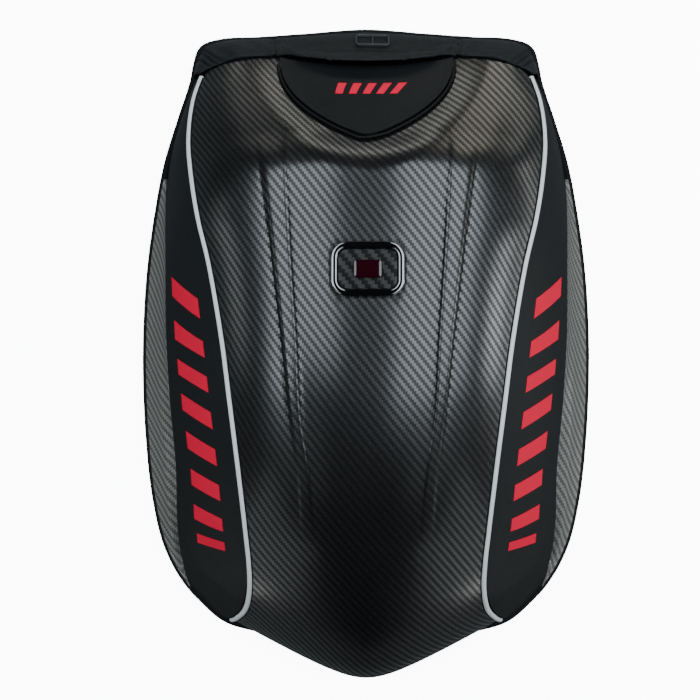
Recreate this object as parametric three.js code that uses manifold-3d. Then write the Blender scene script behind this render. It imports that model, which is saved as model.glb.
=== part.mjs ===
// Hard-shell motorcycle backpack, lying on its shoulder straps with the moulded shell upwards.
// Millimetres. +Z points out of the shell, +Y towards the collar and +X across the bag.
// The origin is on the floor, under the middle of the bag.
import * as THREE from "three";
import { mergeVertices } from "three/addons/utils/BufferGeometryUtils.js";
import Module from "manifold-3d";

const wasm = await Module();
wasm.setup();

// Heights, from the floor up
const STRAP_THICK = 10;
const BACK_BASE = 10.5;
const BACK_THICK = 11;
const BINDING_BASE = 14;
const BINDING_TOP = 24;
const EDGE_Z = 24.6; // where every wall stands on the bound edge
const CENTRING = 1.75; // brings the middle of the bag's length to the origin

// Walls and trims
const GAP = 0.4;
const SHELL_WALL = 3;
const SIDE_WALL = 2.4;
const GUSSET_WALL = 2.2;
const COLLAR_WALL = 2;
const FLAP_WALL = 2.4;
const BINDING_WIDTH = 6;
const PIPING_RADIUS = 1.9;
const PIPING_SEAT = 2.4; // from the piping's middle to the panels beside it
const SEAM_HALF_GAP = 0.6;
const FLAP_CORD_RADIUS = 0.9;
const FLAP_CORD_GAP = 0.6; // between the flap's edge and its cord
const BINDING_CORNER = 2;
const PAD_CHAMFER = 1.5;
const WINDOW_RADIUS = 1;
const COLLAR_CLEARANCE = 3 * GAP; // between the shell and the edge of the collar that is sewn to it

// How many facets each skin is divided into
const ARC_STEPS = 2; // half the number of flats on a rounded corner
const RIM_STEPS = 64; // lengths of the bound edge and of the back panel's outline
const RIM_SAMPLES = 200;
const SHELL_GRID = { spine: 3, rib: 4, flank: 4, upperTo: 0.24, upperRows: 11, lowerRows: 21 };
const SIDE_GRID = { rows: 30, columns: 4 };
const GUSSET_GRID = { rows: 24, columns: 3 };
const COLLAR_GRID = { rows: 9, middle: 6, side: 11 };
const FLAP_GRID = { rows: 9, columns: 10 };
const PIPING_GRID = { points: 44, lengths: 40, sides: 6 };
const FLAP_CORD_GRID = { points: 14, lengths: 36, sides: 6 };
const STRAP_ROWS = 16;

// Form of the shell
const DOME_POWER = 2.6; // a higher power makes a flatter middle and a rounder shoulder
const TAIL_ROUNDING = 0.25; // how blunt the point of the tail is, as a share of its width
const CORNER_POWER = 6; // how square the shell's top corners are
const RIB_POWER = 4; // a higher power makes a rib flatter on top
const SIDE_BULGE = { depth: 3, fullWidth: 60 }; // a narrower panel bulges less
const GUSSET_HOLLOW = { depth: 3, fullHeight: 40 };
const GUSSET_FOOT_LIFT = 0.8 * GUSSET_WALL;

// Where each wall starts and ends, as a share of the way from the collar to the tail
const SIDE_PANEL_SPAN = { top: 0.003, tip: 0.945 };
const GUSSET_SPAN = { top: 0.188, foot: 0.735 };
const PIPING_SPAN = { top: 0.008, end: 0.985 };
const DISH = { y: 215, halfWidth: 95, halfLength: 99, depth: 11, floor: 0.6 }; // floor: share that is flat
const DISH_POWER = 1.5; // 2 makes an oval dish, and a lower power a more pointed one

// Flap over the dish
const FLAP = { topY: 209.5, tipY: 146, halfWidth: 62.7, lift: 2.1, pillow: 3 };
const FLAP_TOP_DIP = 8; // how far the middle of its top edge keeps back from the collar's roll
const FLAP_ROUNDING = { inner: 2.2, outer: 0.85 };
const FLAP_TIP_AT = 0.985; // share of the flap's length where its blunt tip is cut
const FLAP_CORD_START = 0.03; // share of the flap's length where its edge cord comes out of the collar

// Badge on the spine
const BADGE = { y: 54, width: 50, height: 37, radius: 11, rim: 4.5, thick: 5, chamfer: 1, seatDepth: 1.7 };
const BADGE_PLATE_CHAMFER = 0.3;
const LENS = { width: 19, height: 12, radius: 2, thick: 2.4, chamfer: 0.6 };

// Hard trims
const SLIDER = { width: 25, height: 17, radius: 3.5, border: 1.4, bar: 1.2, thick: 2, x: 4.5 };
const SLIDER_DOWN_COLLAR = { from: 0.63, to: 0.77 }; // shares of the way from the shell to the rim
const SLIDER_LIFT = 1.2;
const ADJUSTER = { width: 22, height: 36, radius: 4, border: 3.5, bar: 4, thick: 5, x: 97, y: -131.5 };
const WEBBING = { width: 25, thick: 2, fromY: -148, toX: 112, toY: -180 };

const table = (columns, rows) =>
  rows.map((row) => Object.fromEntries(columns.map((name, i) => [name, row[i]])));

// Sections of the shell from the collar down to the tail. pipe: the piping between the shell and a
// side panel. crest: the shell's middle line. seam: the side panel's outer edge. rib: the two creases
// beside each raised rib, and how high it stands between them.
const STATIONS = table(
  ["pipeX", "pipeY", "pipeZ", "crestY", "crestZ", "seamX", "seamY", "seamZ", "ribIn", "ribOut", "ribHigh"],
  [
    [120, 201.5, 52, 212, 78, 127, 202, EDGE_Z, 58, 82, 0],
    [125.6, 180.3, 64, 183, 100, 135.5, 180, EDGE_Z, 58, 80, 0],
    [127.6, 150, 79, 153, 123.5, 144.8, 150, EDGE_Z, 57, 78, 0],
    [124.3, 121, 92, 128, 142, 149, 122, 29, 55.5, 74, 1.2],
    [118.9, 92, 101, 92, 147, 148.3, 92, 45, 53, 69.5, 2],
    [110.9, 60, 107, 56, 150.5, 147.2, 61, 55, 50.8, 65.5, 2.2],
    [101.4, 7, 113, 4, 151, 146, 7, 62, 47.4, 59.3, 2],
    [95.6, -38, 114, -42, 147.5, 143.2, -37, 64, 45.5, 54.5, 1.6],
    [90, -84, 111, -90, 138.5, 139.2, -86, 60, 40, 48, 0.6],
    [85.6, -127, 102, -136, 122.5, 139.2, -130, 48.5, 36, 46, 0],
    [83.7, -152, 92, -172, 104, 136.6, -157, 36.5, 34, 45, 0],
    [84, -172, 79, -200, 86, 131, -177, 26, 34, 45, 0],
    [88, -189, 61, -222.5, 67, 120, -190, EDGE_Z, 35, 47, 0],
    [95, -198, 44, -238.5, 50, 110, -199, EDGE_Z, 37, 50, 0],
    [99.5, -201.5, 32, -243.5, 38, 105, -202, EDGE_Z, 38, 52, 0],
    [101, -202, EDGE_Z, -231, EDGE_Z, 102.5, -202.5, EDGE_Z, 38, 52, 0],
  ],
);

// Right half of the bound edge, along its middle, from the top of the collar to the tail
const RIM = table(
  ["x", "y"],
  [
    [0, 237], [44, 234], [80, 231.5], [108, 230], [122.5, 225], [127, 213], [129.5, 200], [139, 171],
    [149, 138], [156.5, 98], [162, 55], [164.7, 0], [163, -60], [157.5, -112], [149, -147], [136, -172],
    [121, -189], [104.5, -202.5], [75, -211.2], [50, -219.7], [25, -227.2], [0, -231],
  ],
);

// Right half of the collar. shellX: where it is sewn to the shell. rim: where it meets the bound edge.
// rise: how far the fabric rolls up above the shell. fold: depth of the fold that runs along the
// collar. pleat: how far a pleat pulls the fabric in.
const COLLAR = table(
  ["shellX", "rimX", "rimY", "rise", "fold", "pleat"],
  [
    [0, 0, 237, 58, 4, 0],
    [24, 25.5, 235.6, 53, 4.5, 0],
    [46, 48.5, 233.9, 36, 3.5, 0],
    [66, 69, 232.3, 8, 1, 1.5],
    [92, 103, 230.4, 7, 0, 0],
    [109, 120.5, 226.2, 6, 0, 2.5],
    [117, 126.3, 215, 5, 0, 0],
    [120, 128.8, 203, 4, 0, 0],
  ],
);
const COLLAR_SEAM_AT = 3 / 7; // share of the table where the middle and side panels meet
const COLLAR_FOLD = { at: 0.58, width: 0.12 }; // along the way from the shell to the rim
const COLLAR_PULL = { back: -0.5, up: -0.85 }; // which way a fold or pleat draws the fabric
const COLLAR_SEAM_GAP = 0.004;
const COLLAR_LEAN = { above: 8, by: 1.12 }; // a roll that rises further leans over the flap

// Right shoulder pad, along its middle
const STRAP = table(
  ["x", "y", "width"],
  [
    [50, 205, 60],
    [56, 150, 62],
    [72, 90, 64],
    [90, 30, 62],
    [99, -30, 58],
    [100, -85, 52],
    [97, -118, 46],
  ],
);

const LEATHERETTE = new THREE.MeshStandardMaterial({ color: 0x141517, roughness: 0.45 });
const TWILL = new THREE.MeshStandardMaterial({ color: 0x24272a, roughness: 0.38 });
const NYLON = new THREE.MeshStandardMaterial({ color: 0x0e0f12, roughness: 0.8 });
const SILVER = new THREE.MeshStandardMaterial({ color: 0x9c9ea0, roughness: 0.5 });
const GLOSS = new THREE.MeshStandardMaterial({ color: 0x08090a, roughness: 0.12 });
const PLASTIC = new THREE.MeshStandardMaterial({ color: 0x26282a, roughness: 0.5 });
const RED_LENS = new THREE.MeshStandardMaterial({ color: 0x4a0712, roughness: 0.15 });

const bag = new THREE.Group();
bag.position.y = CENTRING;

function add(name, geometry, material, parent = bag) {
  const mesh = new THREE.Mesh(geometry, material);
  mesh.name = name;
  parent.add(mesh);
}

const smooth = (points, closed = false) => new THREE.CatmullRomCurve3(points, closed, "centripetal");
const through = (rows, x, y, z) => smooth(rows.map((row) => new THREE.Vector3(row[x] ?? 0, row[y], row[z])));

const pipeLine = through(STATIONS, "pipeX", "pipeY", "pipeZ");
const crestLine = through(STATIONS, null, "crestY", "crestZ");
const seamLine = through(STATIONS, "seamX", "seamY", "seamZ");
const ribLine = through(STATIONS, "ribIn", "ribOut", "ribHigh");
const collarRim = through(COLLAR, "rimX", "rimY", "rise");
const collarDrape = through(COLLAR, "shellX", "fold", "pleat");
const strapLine = through(STRAP, "x", "y", "width");

const steps = (from, to, count) =>
  Array.from({ length: count + 1 }, (_, i) => from + ((to - from) * i) / count);

// Mesh of a closed skin from its corner points and faces
function body(points, faces) {
  const geometry = new THREE.BufferGeometry();
  geometry.setAttribute("position", new THREE.Float32BufferAttribute(points.flatMap((p) => p.toArray()), 3));
  geometry.setIndex(faces.flat());
  return geometry;
}

// Outward direction at each point of a grid that runs down the bag and across to +X
function normals(grid) {
  const last = (list) => list.length - 1;
  return grid.map((row, i) =>
    row.map((_, j) => {
      const down = grid[Math.min(i + 1, last(grid))][j].clone().sub(grid[Math.max(i - 1, 0)][j]);
      const across = row[Math.min(j + 1, last(row))].clone().sub(row[Math.max(j - 1, 0)]);
      return down.cross(across).normalize();
    }),
  );
}

// A wall of even thickness under a grid of outer points
function wall(grid, thick) {
  const rows = grid.length;
  const cols = grid[0].length;
  const out = normals(grid);
  const inner = grid.map((row, i) => row.map((p, j) => p.clone().addScaledVector(out[i][j], -thick)));
  const points = [...grid.flat(), ...inner.flat()];
  const at = (i, j, under = 0) => under * rows * cols + i * cols + j;
  const faces = [];
  // Each cell is split along its shorter diagonal, so both halves of the bag are alike
  const quad = (a, b, c, d) => {
    const straight = points[a].distanceTo(points[c]) < points[b].distanceTo(points[d]);
    faces.push(...(straight ? [[a, b, c], [a, c, d]] : [[a, b, d], [b, c, d]]));
  };
  for (let i = 0; i + 1 < rows; i += 1) {
    for (let j = 0; j + 1 < cols; j += 1) {
      quad(at(i, j), at(i + 1, j), at(i + 1, j + 1), at(i, j + 1));
      quad(at(i, j, 1), at(i, j + 1, 1), at(i + 1, j + 1, 1), at(i + 1, j, 1));
    }
    quad(at(i + 1, 0), at(i, 0), at(i, 0, 1), at(i + 1, 0, 1));
    quad(at(i, cols - 1), at(i + 1, cols - 1), at(i + 1, cols - 1, 1), at(i, cols - 1, 1));
  }
  for (let j = 0; j + 1 < cols; j += 1) {
    quad(at(0, j), at(0, j + 1), at(0, j + 1, 1), at(0, j, 1));
    quad(at(rows - 1, j + 1), at(rows - 1, j), at(rows - 1, j, 1), at(rows - 1, j + 1, 1));
  }
  return body(points, faces);
}

const opposite = (p) => new THREE.Vector3(-p.x, p.y, p.z); // the same point on the other half
const mirrored = (grid) => grid.map((row) => row.map(opposite).reverse());

function pair(name, grid, thick, material) {
  add(`${name}_right`, wall(grid, thick), material);
  add(`${name}_left`, wall(mirrored(grid), thick), material);
}

// A round trim along a curve
function tube(curve, radius, { sides, lengths }) {
  const section = new THREE.Shape();
  for (let k = 0; k < sides; k += 1) {
    const angle = (2 * Math.PI * k) / sides;
    const corner = [radius * Math.cos(angle), radius * Math.sin(angle)];
    if (k === 0) section.moveTo(...corner);
    else section.lineTo(...corner);
  }
  return new THREE.ExtrudeGeometry(section, { steps: lengths, bevelEnabled: false, extrudePath: curve });
}

function roundedRect(path, width, height, radius, x = 0, y = 0) {
  const right = x + width / 2;
  const top = y + height / 2;
  path.absarc(right - radius, top - radius, radius, 0, Math.PI / 2);
  path.absarc(right - width + radius, top - radius, radius, Math.PI / 2, Math.PI);
  path.absarc(right - width + radius, top - height + radius, radius, Math.PI, 1.5 * Math.PI);
  path.absarc(right - radius, top - height + radius, radius, 1.5 * Math.PI, 2 * Math.PI);
  return path;
}

// A plate standing on z = 0, with a chamfer all round and its outline kept
function plate(shape, thick, chamfer) {
  const geometry = new THREE.ExtrudeGeometry(shape, {
    depth: thick - 2 * chamfer,
    bevelThickness: chamfer,
    bevelSize: chamfer,
    bevelOffset: -chamfer,
    bevelEnabled: chamfer > 0,
    bevelSegments: 1,
    curveSegments: ARC_STEPS,
  });
  return geometry.translate(0, 0, chamfer);
}

// A flat frame with a bar across its middle
function barFrame({ width, height, radius, border, bar, thick }) {
  const shape = roundedRect(new THREE.Shape(), width, height, radius);
  const window = { width: (width - 2 * border - bar) / 2, height: height - 2 * border };
  const offset = (window.width + bar) / 2;
  for (const side of [-1, 1]) {
    const hole = new THREE.Path();
    shape.holes.push(roundedRect(hole, window.width, window.height, WINDOW_RADIUS, side * offset));
  }
  return plate(shape, thick, 0);
}

// How far a section of the shell has bowed from its crest towards its piping, at a share of its width
function bow(share, along) {
  const hyperbola = (s) => Math.hypot(s, TAIL_ROUNDING) - TAIL_ROUNDING;
  const tail = Math.min(1, 2 * along);
  return (1 - tail) * share ** CORNER_POWER + (tail * hyperbola(share)) / hyperbola(1);
}

// Outer skin of the shell, along 0 at the collar to 1 at the tail, x across
function shellPoint(along, x) {
  const pipe = pipeLine.getPoint(along);
  const crest = crestLine.getPoint(along);
  const { x: ribIn, y: ribOut, z: ribHigh } = ribLine.getPoint(along);
  const share = Math.min(1, Math.abs(x) / pipe.x);
  const y = crest.y + (pipe.y - crest.y) * bow(share, along);
  const onRib = (Math.abs(x) - ribIn) / (ribOut - ribIn);
  const rib = onRib > 0 && onRib < 1 ? ribHigh * (1 - (2 * onRib - 1) ** RIB_POWER) : 0;
  const dishX = Math.abs(x / DISH.halfWidth) ** DISH_POWER;
  const dishY = Math.abs((y - DISH.y) / DISH.halfLength) ** DISH_POWER;
  const fromDish = (dishX + dishY) ** (1 / DISH_POWER);
  const dish = DISH.depth * (1 - THREE.MathUtils.smoothstep(fromDish, DISH.floor, 1));
  const dome = (crest.z - pipe.z) * (1 - share ** DOME_POWER);
  return new THREE.Vector3(x, y, pipe.z + dome + rib - dish);
}

// Point of the shell's outer skin at a given x and y
function shellAt(x, y) {
  let above = 0;
  let below = 1;
  while (below - above > 1e-6) {
    const middle = (above + below) / 2;
    if (shellPoint(middle, x).y > y) above = middle;
    else below = middle;
  }
  return shellPoint(above, x);
}

// Point at a distance above the shell's outer skin
function aboveShell(x, y, lift) {
  const point = shellAt(x, y);
  const across = shellAt(x + 1, y).sub(point);
  const up = shellAt(x, y + 1).sub(point);
  return point.addScaledVector(across.cross(up).normalize(), lift);
}

// Columns of the shell: across the spine, over the rib and down the flank
function shellColumns(along) {
  const rib = ribLine.getPoint(along);
  const edge = pipeLine.getPoint(along).x - PIPING_SEAT;
  const spine = steps(0, rib.x, SHELL_GRID.spine);
  const onRib = steps(rib.x, rib.y, SHELL_GRID.rib);
  const flank = steps(rib.y, edge, SHELL_GRID.flank);
  const half = [...spine, ...onRib.slice(1), ...flank.slice(1)];
  return [...half.slice(1).reverse().map((x) => -x), ...half];
}

function solidOf(geometry) {
  geometry.deleteAttribute("normal");
  geometry.deleteAttribute("uv");
  const merged = mergeVertices(geometry, 1e-4);
  return new wasm.Manifold(
    new wasm.Mesh({
      numProp: 3,
      vertProperties: new Float32Array(merged.attributes.position.array),
      triVerts: new Uint32Array(merged.index.array),
    }),
  );
}

function geometryOf(solid) {
  const mesh = solid.getMesh();
  const geometry = new THREE.BufferGeometry();
  geometry.setAttribute("position", new THREE.BufferAttribute(mesh.vertProperties, 3));
  geometry.setIndex(new THREE.BufferAttribute(mesh.triVerts, 1));
  return geometry;
}

// Badge, set into a shallow seat that follows the slope of the spine
const badge = new THREE.Group();
{
  const reach = BADGE.height / 2;
  const upper = shellAt(0, BADGE.y + reach);
  const lower = shellAt(0, BADGE.y - reach);
  badge.position.copy(shellAt(0, BADGE.y));
  badge.rotation.x = Math.atan2(upper.z - lower.z, upper.y - lower.y);
  badge.translateZ(-BADGE.seatDepth);
  badge.updateMatrix();
  bag.add(badge);
}

function makeShell() {
  const upper = steps(0, SHELL_GRID.upperTo, SHELL_GRID.upperRows);
  const rows = [...upper, ...steps(SHELL_GRID.upperTo, 1, SHELL_GRID.lowerRows).slice(1)];
  const grid = rows.map((along) => shellColumns(along).map((x) => shellPoint(along, x)));
  const seatWidth = BADGE.width + 2 * GAP;
  const seatHeight = BADGE.height + 2 * GAP;
  const seatShape = roundedRect(new THREE.Shape(), seatWidth, seatHeight, BADGE.radius + GAP);
  const seatOptions = { depth: 4 * BADGE.thick, bevelEnabled: false, curveSegments: ARC_STEPS };
  const seat = new THREE.ExtrudeGeometry(seatShape, seatOptions).applyMatrix4(badge.matrix);
  add("centre_shell", geometryOf(solidOf(wall(grid, SHELL_WALL)).subtract(solidOf(seat))), TWILL);
}

function makeBadge() {
  const inner = { width: BADGE.width - 2 * BADGE.rim, height: BADGE.height - 2 * BADGE.rim };
  const innerRadius = BADGE.radius - BADGE.rim;
  const rim = roundedRect(new THREE.Shape(), BADGE.width, BADGE.height, BADGE.radius);
  rim.holes.push(roundedRect(new THREE.Path(), inner.width, inner.height, innerRadius));
  add("badge_frame", plate(rim, BADGE.thick, BADGE.chamfer).translate(0, 0, GAP), GLOSS, badge);

  const face = roundedRect(
    new THREE.Shape(), inner.width - 2 * GAP, inner.height - 2 * GAP, innerRadius - GAP,
  );
  const faceThick = BADGE.thick / 2;
  add("badge_plate", plate(face, faceThick, BADGE_PLATE_CHAMFER).translate(0, 0, GAP), TWILL, badge);

  const lens = roundedRect(new THREE.Shape(), LENS.width, LENS.height, LENS.radius);
  const lensBody = plate(lens, LENS.thick, LENS.chamfer);
  add("badge_lens", lensBody.translate(0, 0, faceThick + 2 * GAP), RED_LENS, badge);
}

// Point between two seam lines, pushed out or in along a bulge that is widest half way
function between(from, to, share, bulge) {
  const outward = new THREE.Vector3(from.z - to.z, 0, to.x - from.x).normalize();
  return from.clone().lerp(to, share).addScaledVector(outward, bulge * 4 * share * (1 - share));
}

function makeSidePanels() {
  const grid = steps(SIDE_PANEL_SPAN.top, SIDE_PANEL_SPAN.tip, SIDE_GRID.rows).map((along) => {
    const pipe = pipeLine.getPoint(along);
    const seam = seamLine.getPoint(along);
    const width = pipe.distanceTo(seam);
    const square = seam.clone().sub(pipe).normalize().cross(pipeLine.getTangent(along)).length();
    const shares = steps(PIPING_SEAT / square / width, 1 - SEAM_HALF_GAP / width, SIDE_GRID.columns);
    const bulge = SIDE_BULGE.depth * Math.min(1, width / SIDE_BULGE.fullWidth);
    return shares.map((share) => between(pipe, seam, share, bulge));
  });
  pair("side_panel", grid, SIDE_WALL, LEATHERETTE);
}

const rimHalf = smooth(RIM.map((p) => new THREE.Vector3(p.x, p.y, EDGE_Z))).getPoints(RIM_SAMPLES);

// Point of the bound edge's middle line at a given y, on the right side
function rimAt(y) {
  const next = rimHalf.findIndex((p) => p.y < y);
  const a = rimHalf[next - 1];
  const b = rimHalf[next];
  return a.clone().lerp(b, (a.y - y) / (a.y - b.y));
}

function makeGussets() {
  const grid = steps(GUSSET_SPAN.top, GUSSET_SPAN.foot, GUSSET_GRID.rows).map((along) => {
    const seam = seamLine.getPoint(along);
    const rim = rimAt(seam.y).setZ(EDGE_Z + GUSSET_FOOT_LIFT);
    const height = seam.distanceTo(rim);
    const hollow = -GUSSET_HOLLOW.depth * Math.min(1, height / GUSSET_HOLLOW.fullHeight);
    const shares = steps(SEAM_HALF_GAP / height, 1, GUSSET_GRID.columns);
    return shares.map((share) => between(seam, rim, share, hollow));
  });
  pair("gusset", grid, GUSSET_WALL, TWILL);
}

function makePiping() {
  const stops = steps(PIPING_SPAN.top, PIPING_SPAN.end, PIPING_GRID.points);
  const path = stops.map((along) => pipeLine.getPoint(along));
  add("piping_right", tube(smooth(path), PIPING_RADIUS, PIPING_GRID), SILVER);
  add("piping_left", tube(smooth(path.map(opposite)), PIPING_RADIUS, PIPING_GRID), SILVER);
}

// The whole bound edge as a closed loop, moved outwards by a distance
function rimLoop(count, outwards) {
  const right = RIM.map((p) => new THREE.Vector3(p.x, p.y, 0));
  const left = right.slice(1, -1).reverse().map((p) => new THREE.Vector3(-p.x, p.y, 0));
  const curve = smooth([...right, ...left], true);
  return steps(0, 1, count).slice(0, -1).map((u) => {
    const tangent = curve.getTangentAt(u);
    const point = curve.getPointAt(u);
    return new THREE.Vector3(point.x - tangent.y * outwards, point.y + tangent.x * outwards, 0);
  });
}

function makeRim() {
  const half = BINDING_WIDTH / 2;
  const corner = BINDING_CORNER;
  const profile = [
    [half, BINDING_BASE + corner], [half, BINDING_TOP - corner],
    [half - corner, BINDING_TOP], [corner - half, BINDING_TOP],
    [-half, BINDING_TOP - corner], [-half, BINDING_BASE + corner],
    [corner - half, BINDING_BASE], [half - corner, BINDING_BASE],
  ];
  const rings = profile.map(([outwards, z]) => rimLoop(RIM_STEPS, outwards).map((p) => p.setZ(z)));
  const at = (k, i) => (k % profile.length) * RIM_STEPS + (i % RIM_STEPS);
  const faces = [];
  for (let k = 0; k < profile.length; k += 1) {
    for (let i = 0; i < RIM_STEPS; i += 1) {
      faces.push([at(k, i), at(k + 1, i), at(k + 1, i + 1)], [at(k, i), at(k + 1, i + 1), at(k, i + 1)]);
    }
  }
  add("rim_binding", body(rings.flat(), faces), NYLON);
}

function makeBack() {
  const outline = rimLoop(RIM_STEPS, -(BINDING_WIDTH / 2 + GAP));
  const shape = new THREE.Shape(outline.map((p) => new THREE.Vector2(p.x, p.y)));
  add("back_panel", plate(shape, BACK_THICK, PAD_CHAMFER).translate(0, 0, BACK_BASE), NYLON);
}

// Right half of the collar: side 0 at its middle to 1 at the corner, down 0 at the shell to 1 at the rim
function collarPoint(side, down) {
  const { x, y: fold, z: pleat } = collarDrape.getPoint(side);
  const rim = collarRim.getPoint(side);
  const rise = rim.z;
  rim.setZ(EDGE_Z);
  const sewn = shellPoint(0, x);
  const outward = rim.clone().sub(sewn).setZ(0).normalize();
  sewn.addScaledVector(outward, COLLAR_CLEARANCE);
  const lean = COLLAR_LEAN.by * Math.max(0, rise - COLLAR_LEAN.above);
  const roll = sewn.clone().addScaledVector(outward, rise / 2 - lean).setZ(sewn.z + rise);
  const fall = rim.clone().addScaledVector(outward, 1).setZ(rim.z + (sewn.z - rim.z) / 2);
  const inFold = fold * Math.exp(-(((down - COLLAR_FOLD.at) / COLLAR_FOLD.width) ** 2));
  const inward = outward.clone().multiplyScalar(COLLAR_PULL.back).setZ(COLLAR_PULL.up);
  const point = new THREE.CubicBezierCurve3(sewn, roll, fall, rim).getPoint(down);
  return point.addScaledVector(inward, inFold + pleat * Math.sin(Math.PI * down));
}

function makeCollar() {
  const column = (side) => steps(1, 0, COLLAR_GRID.rows).map((down) => collarPoint(side, down));
  const gridOf = (columns) => columns[0].map((_, i) => columns.map((points) => points[i]));
  const right = steps(COLLAR_SEAM_AT + COLLAR_SEAM_GAP, 1, COLLAR_GRID.side).map(column);
  pair("collar", gridOf(right), COLLAR_WALL, NYLON);

  const half = steps(0, COLLAR_SEAM_AT - COLLAR_SEAM_GAP, COLLAR_GRID.middle).map(column);
  const flipped = half.slice(1).reverse().map((points) => points.map(opposite));
  add("collar_centre", wall(gridOf([...flipped, ...half]), COLLAR_WALL), NYLON);
}

function makeSlider() {
  const above = collarPoint(0, SLIDER_DOWN_COLLAR.from);
  const below = collarPoint(0, SLIDER_DOWN_COLLAR.to);
  const slider = new THREE.Group();
  slider.position.copy(above.clone().lerp(below, 0.5)).setX(SLIDER.x);
  slider.rotation.x = Math.atan2(below.z - above.z, below.y - above.y);
  slider.translateZ(SLIDER_LIFT);
  bag.add(slider);
  add("collar_slider", barFrame(SLIDER), PLASTIC, slider);
}

function flapHalfWidth(share) {
  return FLAP.halfWidth * (1 - share ** FLAP_ROUNDING.inner) ** FLAP_ROUNDING.outer;
}

function flapY(share, side) {
  const dip = FLAP_TOP_DIP * (1 - side * side) * (1 - share);
  return FLAP.topY + (FLAP.tipY - FLAP.topY) * share - dip;
}

function makeFlap() {
  const grid = steps(0, FLAP_TIP_AT, FLAP_GRID.rows).map((share) =>
    steps(-1, 1, FLAP_GRID.columns).map((side) => {
      const pillow = FLAP.pillow * (1 - side * side) * 4 * share * (1 - share);
      return aboveShell(side * flapHalfWidth(share), flapY(share, side), FLAP.lift + FLAP_WALL + pillow);
    }),
  );
  add("top_flap", wall(grid, FLAP_WALL), LEATHERETTE);

  const clear = FLAP_CORD_RADIUS + FLAP_CORD_GAP;
  const edge = steps(FLAP_CORD_START, 1, FLAP_CORD_GRID.points).map((share) => {
    const x = share < 1 ? flapHalfWidth(share) + clear : 0;
    return new THREE.Vector2(x, flapY(share, 1) - clear * share);
  });
  const lift = FLAP_CORD_RADIUS + FLAP.lift;
  const right = edge.map((p) => aboveShell(p.x, p.y, lift));
  const left = edge.slice(0, -1).reverse().map((p) => aboveShell(-p.x, p.y, lift));
  add("flap_piping", tube(smooth([...right, ...left]), FLAP_CORD_RADIUS, FLAP_CORD_GRID), NYLON);
}

function makeStraps() {
  const edges = steps(0, 1, STRAP_ROWS).map((along) => {
    const { x, y, z: width } = strapLine.getPoint(along);
    const tangent = strapLine.getTangent(along);
    const across = new THREE.Vector2(-tangent.y, tangent.x).normalize().multiplyScalar(width / 2);
    return { right: new THREE.Vector2(x, y).add(across), left: new THREE.Vector2(x, y).sub(across) };
  });
  const outline = [...edges.map((e) => e.right), ...edges.map((e) => e.left).reverse()];
  const lean = Math.atan2(WEBBING.toX - ADJUSTER.x, WEBBING.fromY - WEBBING.toY);
  const length = Math.hypot(WEBBING.toX - ADJUSTER.x, WEBBING.fromY - WEBBING.toY);
  for (const [name, side] of [["right", 1], ["left", -1]]) {
    const pad = new THREE.Shape(outline.map((p) => new THREE.Vector2(side * p.x, p.y)));
    add(`shoulder_strap_${name}`, plate(pad, STRAP_THICK, PAD_CHAMFER), NYLON);

    const adjuster = barFrame(ADJUSTER).rotateZ(Math.PI / 2);
    adjuster.translate(side * ADJUSTER.x, ADJUSTER.y, STRAP_THICK - ADJUSTER.thick);
    add(`strap_adjuster_${name}`, adjuster, PLASTIC);

    const webbing = new THREE.BoxGeometry(WEBBING.width, length, WEBBING.thick);
    webbing.translate(0, -length / 2, STRAP_THICK - WEBBING.thick / 2);
    webbing.rotateZ(side * lean);
    webbing.translate(side * ADJUSTER.x, WEBBING.fromY, 0);
    add(`strap_webbing_${name}`, webbing, NYLON);
  }
}

makeShell();
makeBadge();
makeSidePanels();
makePiping();
makeGussets();
makeRim();
makeBack();
makeCollar();
makeSlider();
makeFlap();
makeStraps();

export default bag;
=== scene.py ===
"""Looks of a hard-shell motorcycle backpack that lies on its shoulder straps, shell upwards."""
import math

import bmesh
import bpy
import numpy as np
from mathutils import Matrix, Vector


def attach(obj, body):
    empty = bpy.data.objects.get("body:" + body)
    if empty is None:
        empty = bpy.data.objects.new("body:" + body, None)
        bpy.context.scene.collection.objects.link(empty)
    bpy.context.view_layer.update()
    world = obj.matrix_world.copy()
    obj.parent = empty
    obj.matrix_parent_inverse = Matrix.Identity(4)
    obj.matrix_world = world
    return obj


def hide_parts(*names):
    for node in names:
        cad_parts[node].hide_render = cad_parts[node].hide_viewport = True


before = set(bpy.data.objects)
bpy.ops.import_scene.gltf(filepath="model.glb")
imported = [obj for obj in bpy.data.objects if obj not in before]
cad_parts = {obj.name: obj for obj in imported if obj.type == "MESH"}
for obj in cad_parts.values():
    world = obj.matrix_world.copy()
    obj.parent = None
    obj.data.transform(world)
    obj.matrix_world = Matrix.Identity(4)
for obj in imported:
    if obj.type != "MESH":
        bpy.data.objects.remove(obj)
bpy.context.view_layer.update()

# Sizes are in millimetres, in the frame's own directions: +Z out of the shell, +Y to the collar.
# Places along the shell are shares, from 0 at the collar to 1 at the tail.
MM = 0.001
GAP = 0.4
CENTRING = 1.75  # moves the outline's middle to the frame's origin
EDGE_Z = 24.6
SEAM_HALF_GAP = 0.6
SIDES = (("right", 1), ("left", -1))

SHELL_WALL = 3.0
SHELL_ROWS = {"brow": 0.24, "above": 70, "below": 131}
SHELL_COLUMNS = (34, 20, 28)  # from the middle to the rib, over the rib, from the rib to the piping
DOME_POWER = 2.6
TAIL_ROUNDING = 0.25
CORNER_POWER = 6
RIB_POWER = 4
RIB_CREASE = {"depth": 0.4, "width": 1.2, "from": 0.9}  # from: height of rib where its creases start
WEAVE_FROM = 0.36
DISH = {"y": 215.0, "half_width": 95.0, "half_length": 99.0, "depth": 11.0, "floor": 0.6, "power": 1.5}
SEARCH_STEPS = 24
NEARBY = 1e-4  # step along the shell, to find a direction

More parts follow.
